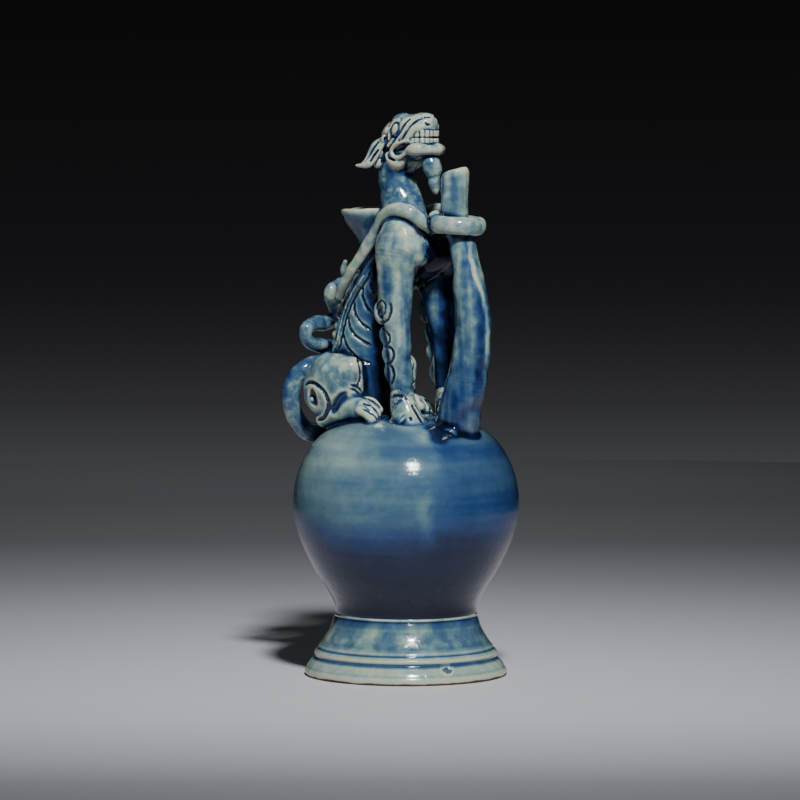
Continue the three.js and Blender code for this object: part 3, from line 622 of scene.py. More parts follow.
def leg_forms(side, sign):
    """The forms of one side's legs. The left foreleg leans."""
    def lean(z):
        return np.interp(z, *FAR_LEG_LEAN) if side == "left" else 0

    def leg(rows):
        return coil(mirrored([(x + lean(z), y, z, *half) for x, y, z, *half in rows], sign))

    (x, y, z), half = TUFT_DISC
    haunch = ball(mirrored([HAUNCH_CENTRE], sign)[0], HAUNCH_HALF, HAUNCH_PITCH)
    return {
        "haunch": [haunch, coil(mirrored(KNEE, sign))],
        "hind_paw": [coil(mirrored(rows, sign)) for rows in [HIND_PAW] + [hind_toe(i) for i in range(TOES)]],
        "foreleg": [leg(FORELEG), ball(mirrored([PECTORAL[0]], sign)[0], PECTORAL[1])],
        "fore_paw": [leg(FORE_PAW)],
        "leg_tufts": [ball((x + lean(z), sign * y, z), half)] + [leg(rows) for rows in TUFTS],
    }


def ewer_forms():
    """Every piece's forms, in the order in which the pieces are luted on."""
    forms = {"torso": [coil(TORSO)], "neck": [coil(NECK)]}
    for side, sign in SIDES.items():
        forms.update({paired(kind, side): form for kind, form in leg_forms(side, sign).items()})
    forms["spout"] = [coil(SPOUT[:SPOUT_PARTING])]
    forms["spout_tip"] = [below_lip(coil(SPOUT[SPOUT_PARTING - 1 :]))]
    forms["spout_collar"] = [ring(COLLAR_CENTRE, COLLAR_RADIUS, COLLAR_HALF, COLLAR_TILT)]
    forms["spout_collar"] += [ball(*lobe) for lobe in KNOT]
    forms["head"] = head_forms()
    forms["lower_jaw"] = [coil(JAW)] + [coil(mirrored(LOWER_LIP, sign)) for sign in SIDES.values()]
    forms["forehead_knob"] = [ball(*KNOB)]
    forms["upper_teeth"] = teeth(UPPER_TEETH, UPPER_TEETH[1])
    forms["lower_teeth"] = teeth(LOWER_TEETH, LOWER_TEETH[0])
    forms["beard"] = [coil(BEARD)]
    for side, sign in SIDES.items():
        forms[paired("eye", side)] = [ball(mirrored([EYE[0]], sign)[0], EYE[1], EYE_PITCH)]
        forms[paired("ear", side)] = [coil(mirrored(EAR, sign))]
        forms[paired("mane_curls", side)] = mane_forms(sign)
    forms["funnel"] = [sheet_turned((FUNNEL_RIM, FUNNEL_LEAN), FUNNEL, FUNNEL_HALF_WALL, rim_wave)]
    for side, sign in SIDES.items():
        forms[paired("shoulder_strap", side)] = [coil(mirrored(STRAP, sign))]
    spots = smooth_rows(CREST, CREST_LOBE_SPACING)
    forms["back_crest"] = [coil(CREST)] + [ball(p[:3] + CREST_LOBE_SHIFT * p[3], CREST_LOBE) for p in spots]
    forms["tail"] = [coil(TAIL)]
    return forms


# Where the beast runs into the jar
SKIRT_DROP = 0.08
SKIRT_BLEND = 2.5
CROWN_FROM = 95  # the jar's crown starts at this height
LUMPS = ((5.5, 0.22, 3), (2.6, 0.07, 4))  # the clay's lumps: how far apart, how high, and their seed
LATTICE = 64  # how many lumps each way before they repeat
LUMP_GAIN = 3  # makes up for what the blending takes away


# Lines cut or raised on the near side, as the photograph's pixels show them; the far side mirrors them.
# Each holds its half width in millimetres, then its pixels. A mark holds its pixel and its half sizes.
SPINE_LINE = (0.65, [(373, 262), (361, 280), (353, 292), (345.5, 309), (341, 325), (338, 338), (335.5, 348)])
SPINE_GROOVES = [(0.75, [(374.5, 267), (364, 283), (356, 295), (348.5, 311), (344, 327), (341, 340),
                         (338.5, 350)]),
                 (0.7, [(369, 259), (357.5, 278), (350, 290), (343, 307), (338.5, 323), (335.5, 336),
                        (333.5, 346)])]
RIB_GROOVES = [(0.62, [(363, 285), (362.5, 295), (366.5, 306), (371, 312)]),
               (0.62, [(354, 301.8), (354.8, 311.6), (359.6, 321.4), (370, 329.5)]),
               (0.62, [(348.4, 315.8), (349.8, 327), (355.4, 335.4), (364, 341.5), (371, 345)]),
               (0.62, [(342.8, 334), (346.3, 345), (352.6, 353.6), (361, 360.6), (370.4, 362.5)]),
               (0.8, [(372, 276), (371, 284), (373.5, 292)])]
SPIRAL = (0.62, [(390.4, 303.5), (391, 311.6), (387.6, 319.6), (382, 322.6), (377.6, 321)])
SPIRAL_EYE = (0.6, [(376.6, 309), (377.8, 303), (381.6, 300.8), (384.8, 305), (384.4, 312.6), (381.3, 316.8),
                    (378.4, 314), (379, 309), (381.2, 307.6)])
TUFT_GROOVES = [(0.75, [(377.4, 325), (383.4, 328.4), (388.6, 335.4), (388.6, 342.4), (384.6, 346.6)]),
                (0.75, [(385.4, 346.8), (391, 348.4), (393.4, 355), (390.6, 362), (385.6, 364.4)]),
                (0.75, [(389, 365), (392.4, 368), (393.6, 375), (391.4, 383), (388, 386.6)])]
THIGH_RING = (1.0, [(304.6, 386), (308, 382.4), (313.6, 383), (320.4, 388), (326, 395.4), (328.4, 404),
                    (327, 412), (322.6, 418.4), (317, 420.4)])
THIGH_EYE = ((312.4, 400), (2.8, 2, 5.4))
THIGH_DOT = ((312.6, 399.2), (1.0, 1.4, 1.2))
KNEE_GROOVE = (0.8, [(354, 354), (357.6, 360), (360, 368), (360.4, 378), (357.4, 386)])
THIGH_CREASE = (1.3, [(344.4, 394.6), (340, 399), (336.4, 404), (333.4, 411)])
INSTEP_LINES = [(0.6, [(350, 388.6), (355, 390), (360, 394)]), (0.6, [(351, 385), (357.4, 387), (363, 393)])]
TOE_GROOVES = [(0.6, [(364, 399), (371, 400.4), (377.6, 404.4), (380.6, 408.4)]),
               (0.6, [(363, 403.4), (370, 406), (376, 410), (379.6, 414)]),
               (0.6, [(362, 408.4), (367, 411), (372.6, 415), (375.6, 418)])]
HOOF_GROOVES = [(0.8, [(411.6, 405), (415, 410.4), (418.6, 417), (421.6, 422.4)]),
                (0.55, [(414.6, 403.6), (418.6, 409.6), (422, 417)])]
HOOF_PIT = (1.0, [(410.4, 418), (411, 420)])
ANKLE_GROOVE = (0.5, [(391.6, 397.4), (397, 395.4), (404, 397), (408.4, 402)])
HEAD_LINES = [(0.6, [(420.4, 117.4), (425, 116.9), (430, 117.4)]),
              (0.55, [(425.8, 123), (427.4, 124.6), (430, 124.4)])]
RAISED = True
LINE_REACH = 9.0  # how far the clay under a line may lie in front of or behind the rest of it
LINE_SPACING = 1.2  # pixels
LINE_COIL_SPACING = 2.5
LINE_TAPER = (0.45, 0.25)  # a line's width at its ends, and how fast it grows from point to point
LINE_BLEND, FOLD_BLEND, MARK_BLEND, CREASE_BLEND = 0.5, 0.4, 0.6, 2.5
FACING_LEAST, FACING_REACH = 0.3, 2  # a line is left out where the clay turns away from the eye

# Beads of glaze that ran down at the spout's root: their places and sizes
GLAZE_RUN = [((27, -14, 115.6), 2), ((31, -15.4, 113.6), 2.3), ((33, -18.6, 110.8), 1.9),
             ((33.8, -10, 115), 1.8)]
BEAD_FLATNESS, BEAD_BLEND = 0.5, 4

# The mouth's hollow, and the grooves of the face on its left side
MOUTH_HOLLOW = ((4.4, 9.2, 245.6), (4.4, 2.4, 1.7), math.radians(24))
EYE_GROOVE = [(2.1, 8.5, 253, 0.45), (1.9, 8, 255.6, 0.5), (0.6, 7.5, 257.2, 0.5), (-1.1, 7.6, 256.8, 0.45),
              (-2.5, 8, 254.4, 0.5), (-2.5, 8.6, 251.8, 0.5), (-1, 9, 250.4, 0.5), (0.9, 9, 250.9, 0.5),
              (2.1, 8.5, 253, 0.45)]
SIDE_GROOVES = [EYE_GROOVE,
                [(-0.4, 9.3, 248.2, 0.75), (2.4, 8.8, 251.6, 0.75), (4.6, 8, 255, 0.7), (7, 6.2, 258.4, 0.6)],
                [(3.4, 9.4, 249, 0.8), (6, 8.8, 251.4, 0.8), (8.4, 7.8, 254.6, 0.75), (11, 6, 258, 0.7),
                 (14, 3.8, 259.6, 0.6)],
                [(0.4, 9, 239.8, 0.7), (-3, 9.8, 241.4, 0.75), (-3.2, 9.8, 244.4, 0.75),
                 (-1, 9.8, 247.8, 0.7)],
                [(-5.6, 8.4, 250, 0.9), (-4.4, 8.8, 246, 0.9), (-6, 8.8, 242, 0.9), (-7.6, 8.2, 239, 0.8)]]


def clay_lumps(block, spacing, amount, seed):
    """Adds the soft unevenness of hand-pressed clay, the same at a place in every block."""
    field = np.random.default_rng(seed).normal(size=(LATTICE,) * 3).astype(np.float32)
    for axis, shift in enumerate((LATTICE // 2, LATTICE // 2, 0)):
        place = (np.arange(block.shape[axis]) + block.first[axis]) * block.cell / spacing + shift
        near = np.floor(place).astype(int)
        part = place - near
        cubic = ((1 - part) ** 3, 3 * part ** 3 - 6 * part ** 2 + 4,
                 -3 * part ** 3 + 3 * part ** 2 + 3 * part + 1, part ** 3)
        weights = np.zeros((len(near), LATTICE))
        for step, weight in enumerate(cubic, -1):
            weights[np.arange(len(near)), (near + step) % LATTICE] += weight / 6
        field = np.moveaxis(np.tensordot(weights.astype(np.float32), field, (1, axis)), 0, axis)
    block.clay += LUMP_GAIN * amount * field


def crown_height(r):
    """The height of the jar's skin over its shoulder, and the cosine of its slope."""
    radii, heights = JAR_OUTLINE[JAR_OUTLINE[:, 1] > CROWN_FROM][::-1].T
    slope = np.gradient(heights, radii)
    return np.interp(r, radii, heights), 1 / np.sqrt(1 + np.interp(r, radii, slope) ** 2)


def lay_ewer(block):
    """Lays every piece of the beast that reaches into a block, and lets the foot of each run into the jar."""
    for name, forms in ewer_forms().items():
        block.lay(name, forms, *SOFTNESS[kind_of(name)])
    for lumps in LUMPS:
        clay_lumps(block, *lumps)
    x, y, z = block.places(tuple(slice(0, n) for n in block.shape))
    height, cosine = crown_height(np.sqrt(x * x + y * y))
    block.jar = ((z - height) * cosine).astype(np.float32)
    block.clay = soft_min(block.clay, block.jar + SKIRT_DROP, SKIRT_BLEND).astype(np.float32)


def cut_line(block, line, add=False, blend=LINE_BLEND):
    """Cuts or raises a line where the photograph shows it, and its mirror image on the far side."""
    half, pixels = line
    dense = smooth_rows([(u, v, 0) for u, v in pixels], LINE_SPACING)[:, :2]
    spots = block.surface_under(dense)
    if len(spots) < 2:
        return
    toward = VIEW_EYE - spots
    away = np.linalg.norm(toward, axis=1)
    facing = (block.slope_at(spots, FACING_REACH) * toward).sum(axis=1) / away
    spots = spots[(np.abs(away - np.median(away)) < LINE_REACH) & (facing > FACING_LEAST)]
    if len(spots) < 2:
        return
    start, pace = LINE_TAPER
    along = np.arange(len(spots))
    taper = np.minimum(1, start + pace * np.minimum(along, along[::-1]))
    rows = [(*spot, half * share) for spot, share in zip(spots, taper)]
    for sign in (1, -1):
        block.press(coil(mirrored(rows, sign), LINE_COIL_SPACING), blend, add)


def press_mark(block, mark, add=False, blend=MARK_BLEND):
    """Presses or raises an egg where the photograph shows it, and its mirror image on the far side."""
    pixel, half = mark
    for spot in block.surface_under([pixel]):
        for sign in (1, -1):
            block.press(ball(spot * (1, sign, 1), half), blend, add)


def carve_body(block):
    for groove in SPINE_GROOVES + RIB_GROOVES:
        cut_line(block, groove)
    cut_line(block, SPINE_LINE, RAISED)
    single = [SPIRAL, SPIRAL_EYE, THIGH_RING, KNEE_GROOVE, ANKLE_GROOVE, HOOF_PIT]
    for groove in single + TUFT_GROOVES + INSTEP_LINES + TOE_GROOVES + HOOF_GROOVES:
        cut_line(block, groove)
    cut_line(block, THIGH_CREASE, blend=CREASE_BLEND)
    press_mark(block, THIGH_EYE)
    press_mark(block, THIGH_DOT, RAISED)
    for place, radius in GLAZE_RUN:
        block.press(ball(place, (radius, radius, radius * BEAD_FLATNESS)), BEAD_BLEND, RAISED)


def carve_head(block):
    for line in HEAD_LINES:
        cut_line(block, line)
    centre, half, pitch = MOUTH_HOLLOW
    for sign in SIDES.values():
        block.press(ball(mirrored([centre], sign)[0], half, pitch), LINE_BLEND)
        for rows in SIDE_GROOVES + EAR_FOLDS:
            block.press(coil(mirrored(rows, sign)), FOLD_BLEND)


# Making each piece out of its block of clay
BLOCKS = {"body": ((-58, -33, 105), (50, 33, 245)), "head": ((-23, -17.5, 218), (25, 17.5, 264))}
HEAD_PIECES = ("head", "lower_jaw", "forehead_knob", "upper_teeth", "lower_teeth", "beard", "eye_right",
               "eye_left", "ear_right", "ear_left", "mane_curls_right", "mane_curls_left")
RELIEF_REACHES = {"fine": 1.0, "broad": 3.0}  # how far the neighbourhood reaches that a place stands proud of
RELIEF_MOST = 3.0
BORE_BLEND = 0.5
AIR = 0.5  # a distance that stands for open air
FILLED = -0.01  # a distance just inside the clay
UNPINCH_ROUNDS = 20
CRUMB = 60  # fewer points than this are no form
RANK_STEP = 0.01  # each piece lies this much deeper than the one before it, so that no two skins coincide
LAP = 0.4  # how far a piece reaches under its neighbour
SPREAD = 3.0  # how far a piece's skin may lie outside its own forms
JAR_LAP = 1.5  # how deep a piece reaches into the jar
NEAR_SKIN = 0.7  # in cells: points nearer the clay's skin than this are moved onto it
READY = {}  # the carved blocks that have been made


def block_of(kind):
    """The carved block of clay for the body or the head, made once for each fineness."""
    sizes = bpy.context.scene.ewer_sizes
    cell = (sizes.body_cell if kind == "body" else sizes.head_cell) / MM * 1
    if (kind, cell) not in READY:
        block = Block(*BLOCKS[kind], cell)
        lay_ewer(block)
        if kind == "body":
            carve_body(block)
        carve_head(block)
        near = np.clip(block.clay, -RELIEF_MOST, RELIEF_MOST)
        block.relief = {title: blurred(near, reach, cell) for title, reach in RELIEF_REACHES.items()}
        bore = [(x, y, z, radius - SPOUT_WALL) for x, y, z, radius in SPOUT[:-1]] + [BORE_END]
        for rows in (bore, FUNNEL_BORE):
            block.press(coil(rows), BORE_BLEND)
        READY[kind, cell] = block
    return READY[kind, cell]


def unpinched(field):
    """Fills a corner wherever the clay would touch itself along a mere edge."""
    steps = np.eye(3, dtype=int)
    for _ in range(UNPINCH_ROUNDS):
        inside, filled = field < 0, 0
        for a, b in ((0, 1), (0, 2), (1, 2)):
            side = [[slice(None)] * 3 for _ in range(4)]
            for k, (da, db) in enumerate(((0, 0), (1, 1), (1, 0), (0, 1))):
                side[k][a], side[k][b] = slice(da, da - 1 or None), slice(db, db - 1 or None)
            one, two, three, four = (inside[tuple(s)] for s in side)
            spots = np.argwhere((one == two) & (three == four) & (one != three))
            if len(spots):
                corners = np.stack([spots, spots + steps[a] + steps[b], spots + steps[a], spots + steps[b]],
                                   axis=1)
                values = field[tuple(np.moveaxis(corners, 2, 0))]
                pick = np.where(values < 0, np.inf, values).argmin(axis=1)
                field[tuple(corners[np.arange(len(spots)), pick].T)] = FILLED
                filled += len(spots)
        if not filled:
            return field
    raise RuntimeError("the clay still touches itself")


def without_crumbs(points, faces):
    """Drops the loose crumbs of a skin that are too small to be a form."""
    label = np.arange(len(points))
    while True:
        lowest = label[faces].min(axis=1)
        new = label.copy()
        np.minimum.at(new, faces.ravel(), np.repeat(lowest, 4))
        new = new[new]
        if (new == label).all():
            break
        label = new
    count = np.bincount(label, minlength=len(points))
    keep = count[label] >= CRUMB
    number = np.cumsum(keep) - 1
    return points[keep], number[faces[keep[faces[:, 0]]]]


def territory(block, name):
    """The field of one piece: its share of the clay, lapped a little under its neighbours."""
    window, own = block.own[name]
    clay, nearest, second, jar = (f[window] for f in (block.clay, block.nearest, block.second, block.jar))
    others = np.where(own <= nearest, second, nearest)
    rank = list(block.own).index(name)
    field = np.maximum(clay + rank * RANK_STEP, (own - others) / 2 - max(LAP, block.cell))
    return window, np.maximum(np.maximum(field, own - SPREAD), -jar - JAR_LAP)


def model(name):
    """Makes the piece that stands for a node, from its share of the clay."""
    block = block_of("head" if name in HEAD_PIECES else "body")
    window, field = territory(block, name)
    points, faces = without_crumbs(*skin_of(unpinched(np.pad(field, 1, constant_values=AIR))))
    points = (points - 1 + [w.start for w in window] + block.first) * block.cell
    slope = block.slope_at(points)
    off = block.sample(block.clay, points)
    outer = np.abs(off) < NEAR_SKIN * block.cell
    points -= np.where(outer, off, 0)[:, None] * slope
    relief = {title: block.sample(field, points) for title, field in block.relief.items()}
    piece = skin_object(name, points, faces, relief)
    own = np.empty(len(points) * 3, np.float32)
    piece.data.vertex_normals.foreach_get("vector", own)
    normals = np.where(outer[:, None], slope, own.reshape(-1, 3))
    piece.data.normals_split_custom_set_from_vertices(normals.tolist())
    settle(piece, name)


def settle(piece, node):
    """Glazes a piece and puts it in its node's place."""
    slots = {part["node"]: part["material_slot"] for part in frame["record"]["subparts"]}
    piece.data.materials.append(glaze_for(node))
    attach(piece, "root")
    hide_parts(node)
    slots[node]


# Turned parts: radii and heights of their outlines, from the bottom up
JAR = [(32.8, 28.8), (33.1, 32.7), (34.7, 36.5), (37.4, 41), (41.7, 47.7), (46.5, 56.6), (50, 65),
       (52.3, 74.4), (52.8, 81), (51.3, 91.6), (48.2, 100), (44.8, 106), (41, 110.7), (35, 115.2),
       (25, 119.2), (12, 121.2), (0, 121.6)]
FOOT = [(0, 17.4), (14, 17.2), (28, 15), (35.6, 8), (37.4, 2), (38, 0.5), (38.8, 0), (40.6, 0), (43.4, 0),
        (45.2, 0), (46.5, 0.4), (47.2, 1.5), (46.9, 2.9), (46.1, 4.1), (45.6, 5), (44.9, 6), (44, 7),
        (43, 7.9), (42.2, 8.7), (42.3, 9.4), (42.7, 10.2), (42.4, 11.2), (41.7, 12), (41, 12.6), (40.7, 13.2),
        (40.3, 14), (38.8, 15.8), (37.3, 18.2), (36, 20.4), (35, 22.6), (34.2, 25), (33.5, 26.8),
        (33.1, 27.7), (33.25, 28.3), (33, 28.9), (32.2, 29.2), (30.6, 29.2), (27, 29.2), (0, 29.2)]
JAR_SPACING, FOOT_SPACING = 0.8, 0.55  # how close an outline's points lie
ROUND_SIDES, QUICK_SIDES = 400, 180
# The potter's rings are waves up the side: their share, pace and start. The unevenness is waves round it:
# their height, how many there are, their start, and how they twist with height.
RINGS = ((0.5, 1.3, 0), (0.35, 2.1, 1), (0.3, 0.77, 2))
UNEVENNESS = ((0.16, 2, 0.7, 0.01), (0.08, 3, 2, -0.03))
CALM_RADIUS = 30  # inside this the rings and the unevenness die away
RIM_CHIP = (39.9, -20.4, 7.6)
CHIP_REACH, CHIP_DEPTH = 3.2, 1.2
CHIP_FLATNESS = (1, 1, 1.5)
CHIP_POWER = 0.4  # the lower, the steeper the chip's edge
# How far inside the block of clay its relief starts to count on the jar, and over how much it fades in
BESIDE_BLOCK, BLOCK_FADE = 3.5, 5


def outline_of(rows, spacing):
    return smooth_rows([(r, 0, z) for r, z in rows], spacing)[:, [0, 2]]


JAR_OUTLINE = outline_of(JAR, JAR_SPACING)


def outline_relief(outline):
    """How proud of its neighbourhood each point of an outline stands, near by and further off."""
    runs = np.gradient(outline, axis=0)
    normals = np.stack([runs[:, 1], -runs[:, 0]], axis=1) / np.linalg.norm(runs, axis=1, keepdims=True)
    lengths = np.append(0, np.cumsum(np.linalg.norm(np.diff(outline, axis=0), axis=1)))
    out = {}
    for title, reach in RELIEF_REACHES.items():
        near = np.abs(lengths[:, None] - lengths[None]) <= reach
        mean = near @ outline / near.sum(axis=1, keepdims=True)
        out[title] = ((outline - mean) * normals).sum(axis=1)
    return out


def thrown(outline):
    """A body turned on the wheel: points, faces and relief. Its outline starts and ends on the axis."""
    sides = ROUND_SIDES
    angles = np.arange(sides) * 2 * math.pi / sides
    inner = outline[1:-1]
    r, z = inner[:, :1], inner[:, 1:]
    rings = sum(share * np.sin(z * pace + start) for share, pace, start in RINGS)
    uneven = sum(height * np.sin(count * angles + start + z * twist)
                 for height, count, start, twist in UNEVENNESS)
    ring_height = bpy.context.scene.ewer_sizes.ring_height / MM
    grown = r + (uneven + ring_height * rings) * np.clip(r / CALM_RADIUS, 0, 1)
    x, y, z = grown * np.cos(angles), grown * np.sin(angles), np.broadcast_to(z, grown.shape)
    ends = np.array([[0, 0, outline[0, 1]], [0, 0, outline[-1, 1]]])
    points = np.vstack([np.stack([x, y, z], axis=2).reshape(-1, 3), ends])
    row, column = np.meshgrid(np.arange(len(inner) - 1) * sides, np.arange(sides), indexing="ij")
    after = (column + 1) % sides
    corners = (row + column, row + after, row + sides + after, row + sides + column)
    faces = np.stack(corners, axis=2).reshape(-1, 4).tolist()
    first, last, top = len(points) - 2, len(points) - 1, (len(inner) - 1) * sides
    faces += [(first, (i + 1) % sides, i) for i in range(sides)]
    faces += [(last, top + i, top + (i + 1) % sides) for i in range(sides)]
    relief = {title: np.append(np.repeat(values, sides), [0, 0])
              for title, values in outline_relief(inner).items()}
    return points, faces, relief


def jar_body():
    """The jar, whose relief under the beast is that of the clay pressed onto it."""
    points, faces, relief = thrown(np.vstack([[0, JAR[0][1]], JAR_OUTLINE]))
    block = block_of("body")
    low, high = (np.array(corner) for corner in BLOCKS["body"])
    depth = np.minimum(points - low, high - points).min(axis=1)
    share = np.clip((depth - BESIDE_BLOCK) / BLOCK_FADE, 0, 1)
    for title, field in block.relief.items():
        relief[title] = relief[title] * (1 - share) + block.sample(field, points) * share
    return points, faces, relief


def foot_body():
    """The foot, with the chip out of its rim."""
    outline = outline_of(FOOT, FOOT_SPACING)
    outline[:, 1] = np.maximum(outline[:, 1], 0)
    points, faces, relief = thrown(outline)
    away = np.linalg.norm((points - RIM_CHIP) * CHIP_FLATNESS, axis=1)
    dent = np.clip(1 - away / CHIP_REACH, 0, 1) ** CHIP_POWER * CHIP_DEPTH
    outward = points[:, :2] / np.maximum(np.linalg.norm(points[:, :2], axis=1, keepdims=True), 1)
    points[:, :2] -= outward * dent[:, None]
    return points, faces, relief


# Glaze: the thicker it lies, the darker it is
SHADES = {"bare": 0.0, "cream": 0.1, "celadon": 0.2, "mist": 0.32, "steel": 0.46, "cobalt": 0.62, "navy": 0.8,
          "ink": 1.0}
SETTINGS = ("Thickness", "Mottle", "Runs", "Bands", "Relief", "Green")
# For each node or kind of node: how thick the glaze lies, its mottling, runs and bands, how strongly it
# leaves the edges and fills the hollows, and how green its thin places are. The jar's glaze by height,
# darker towards the bottom, comes from JAR_LEVELS.
GLAZES = {
    "foot": (0.31, 0.1, 0.04, 0.08, 0.9, 0.4),
    "jar": (0.0, 0.05, 0.0, 0.13, 0.6, 0.25),
    "torso": (0.54, 0.16, 0.06, 0.02, 0.9, 0.45),
    "haunch": (0.36, 0.26, 0.08, 0.02, 1.0, 0.3),
    "hind_paw": (0.37, 0.22, 0.06, 0.02, 1.1, 0.35),
    "foreleg": (0.4, 0.2, 0.3, 0.0, 0.9, 0.3),
    "fore_paw": (0.35, 0.2, 0.12, 0.0, 1.1, 0.35),
    "leg_tufts": (0.42, 0.2, 0.1, 0.0, 0.9, 0.3),
    "spout": (0.47, 0.16, 0.34, 0.0, 1.0, 0.3),
    "spout_tip": (0.38, 0.16, 0.34, 0.0, 1.0, 0.4),
    "spout_collar": (0.42, 0.34, 0.08, 0.0, 1.0, 0.4),
    "neck": (0.46, 0.44, 0.2, 0.0, 1.0, 0.4),
    "head": (0.28, 0.28, 0.04, 0.02, 1.2, 0.3),
    "lower_jaw": (0.32, 0.34, 0.04, 0.02, 1.1, 0.3),
    "forehead_knob": (0.6, 0.34, 0.04, 0.02, 0.4, 0.0),
    "upper_teeth": (0.05, 0.06, 0.02, 0.01, 0.9, 0.1),
    "lower_teeth": (0.07, 0.08, 0.02, 0.01, 0.9, 0.1),
    "beard": (0.46, 0.4, 0.2, 0.0, 0.6, 0.2),
    "eye": (0.12, 0.04, 0.02, 0.01, 0.8, 0.2),
    "ear": (0.4, 0.3, 0.06, 0.02, 1.1, 0.4),
    "mane_curls": (0.38, 0.24, 0.06, 0.03, 1.2, 0.3),
    # the funnel's thick, dark glaze is partly its own colour and partly painted shade
    "funnel": (0.65, 0.14, 0.16, 0.04, 0.8, 0.3),
    "shoulder_strap": (0.38, 0.28, 0.06, 0.02, 1.0, 0.5),
    "back_crest": (0.36, 0.2, 0.05, 0.03, 1.1, 0.35),
    "tail": (0.61, 0.4, 0.08, 0.02, 1.0, 0.2),
}
# How close each pattern is, in turns a metre, its detail, its distortion and how it is stretched
PATTERNS = {"broad": (95, 3, 0.6), "patch": (300, 4, 0.4), "speck": (1500, 2), "green": (60, 2, 0.5),
            "runs": (180, 2, 0.3, (1, 1, 0.14)), "bands": (130, 2, 0.2, (0.08, 0.08, 1))}
PATCH_SHARE, SPECK_SHARE = 0.8, 0.22  # what patches and specks add to the broad mottling
MOTTLE_GAIN, RUN_GAIN, BAND_GAIN = 2.2, 2.4, 2.4
EDGE_GAIN, HOLLOW_GAIN = 2.4, 0.8
HOLLOW_FROM = 0.02
PROUD_RANGE = (-0.4, 0.35)
GREEN_TINT = (0.93, 1.0, 0.72, 1)
BUMP_SHARES = {"broad": 0.8, "patch": 0.6, "speck": 0.05}
BUMP = {"Strength": 0.6, "Distance": 0.0006}
SURFACE = {"IOR": 1.5, "Specular IOR Level": 0.2, "Coat Roughness": 0.08, "Coat IOR": 1.5}
JAR_SURFACE = {**SURFACE, "Coat Roughness": 0.15, "Coat IOR": 1.34}
# A fade has the two values between which it goes smoothly, in metres, thickness or pattern, and may have the
# level before it and the level after it
GREEN_FADE = (-0.14, 0.16)
ROUGH_FADE = (0.0, 0.5, 0.3, 0.1)
ROUGH_PATCHES = 0.12
COAT_FADE = (0.0, 0.4, 0.3, 0.9)
# The coat is dulled over the same chest fronts that carry painted shade in EFFECTS.
DULL_CHEST = {"torso": (-0.015, -0.007, 1.0, 0.1), "foreleg": (0.0175, 0.0205, 1.0, 0.25)}
BARE_FADE = (0.0006, 0.0014, 1.0, 0.0)
BARE_ROUGHNESS = 0.5
# Where the glaze lies thicker or thinner on a piece than its row says, and where darker glaze is painted
# shade. An effect is a product of fades, each with what it is measured by.
EFFECTS = {
    "jar": {
        "thin side": [("wander", -0.05, 0.03, -0.06, 0.03)],
        # painted shade: darker glaze low on the jar's left side, which turns away from the light
        "painted shade low on the left": [("wander", -0.052, -0.034, 0.14, 0.0), ("height", 0.085, 0.068)],
        "streak": [("wander", 0.01, 0.019, -0.05, 0.07), ("height", 0.062, 0.082)],
        "pale column": [("from column", 0.0005, 0.0055, -0.1, 0.0), ("height", 0.06, 0.068),
                        ("height", 0.08, 0.09, 1.0, 0.0)],
        "pool": [("from pool", 0.003, 0.016, 0.06, 0.0)],
        "crown": [("height", 0.094, 0.108), ("wander", -0.026, -0.004, 0.0, 0.14)],
    },
    # painted shadow: darker glaze over the torso's chest and belly, which lie in the shade of the forelegs,
    # collar and head
    "torso": {"painted shadow on chest and belly": [("ahead", -0.015, -0.007, 0.0, 0.6)]},
    "foreleg": {
        # painted shade: darker glaze on the chest below the collar, where shade falls
        "chest": [("ahead", 0.0175, 0.0205, 0.0, 0.5), ("height", 0.175, 0.185)],
        "shank": [("height", 0.13, 0.17, 0.26, 0.0)],
        "shoulder": [("height", 0.182, 0.196, 0.0, -0.08)],
        # painted shadow of the spout: darker glaze over the left foreleg, all but its rear edge
        "left leg": [("left", 0.005, 0.012, 0.0, 0.56)],
    },
    "spout": {
        "pale run": [("from run", 0.0003, 0.0016, -0.3, 0.0), ("height", 0.13, 0.15)],
        "blue beside it": [("from run", 0.0015, 0.0075, 0.12, 0.0), ("height", 0.13, 0.15)],
        "root": [("height", 0.12, 0.17, 0.14, 0.0)],
        "under the collar": [("height", 0.185, 0.198, 0.0, -0.08)],
    },
    "foot": {
        "pale patches": [("patches", -0.1, 0.14, 0.09, -0.1), ("height", 0.012, 0.017)],
        "ridges": [("height", 0.009, 0.014, -0.1, 0.0)],
        "waist": [("height", 0.0235, 0.0255, 0.0, 0.14)],
        "chip": [("from chip", 0.0022, 0.0028, 0.5, 0.0)],
        "chip's edge": [("from chip", 0.0032, 0.0042, -0.2, 0.0)],
    },
    "beard": {"tip": [("height", 0.2275, 0.2245, 0.0, -0.35)]},
    "funnel": {"rim": [("height", 0.2135, 0.2155, 0.0, -0.3)]},
    "spout_tip": {"lip": [("height", 0.2335, 0.2365, 0.0, -0.22)]},
}
# How dark the jar's glaze is by height, darker towards the bottom, and where the pale run on the spout lies
# across the view by height, in metres
JAR_LEVELS = [(0.03, 0.92), (0.048, 0.92), (0.0588, 0.84), (0.0678, 0.66), (0.0768, 0.54), (0.093, 0.46),
              (0.1074, 0.4), (0.12, 0.4)]
RUN_LINE = [(0.14, 0.036), (0.153, 0.0375), (0.168, 0.0372), (0.1775, 0.0352), (0.187, 0.0317),
            (0.1955, 0.0294), (0.205, 0.0292)]
RUN_LINE_MOST = 0.1
JAR_COLUMN = 0.0098  # where the pale column on the jar stands across the view
POOL = (31, -16, 114)  # the middle of the glaze that ran down at the spout's root


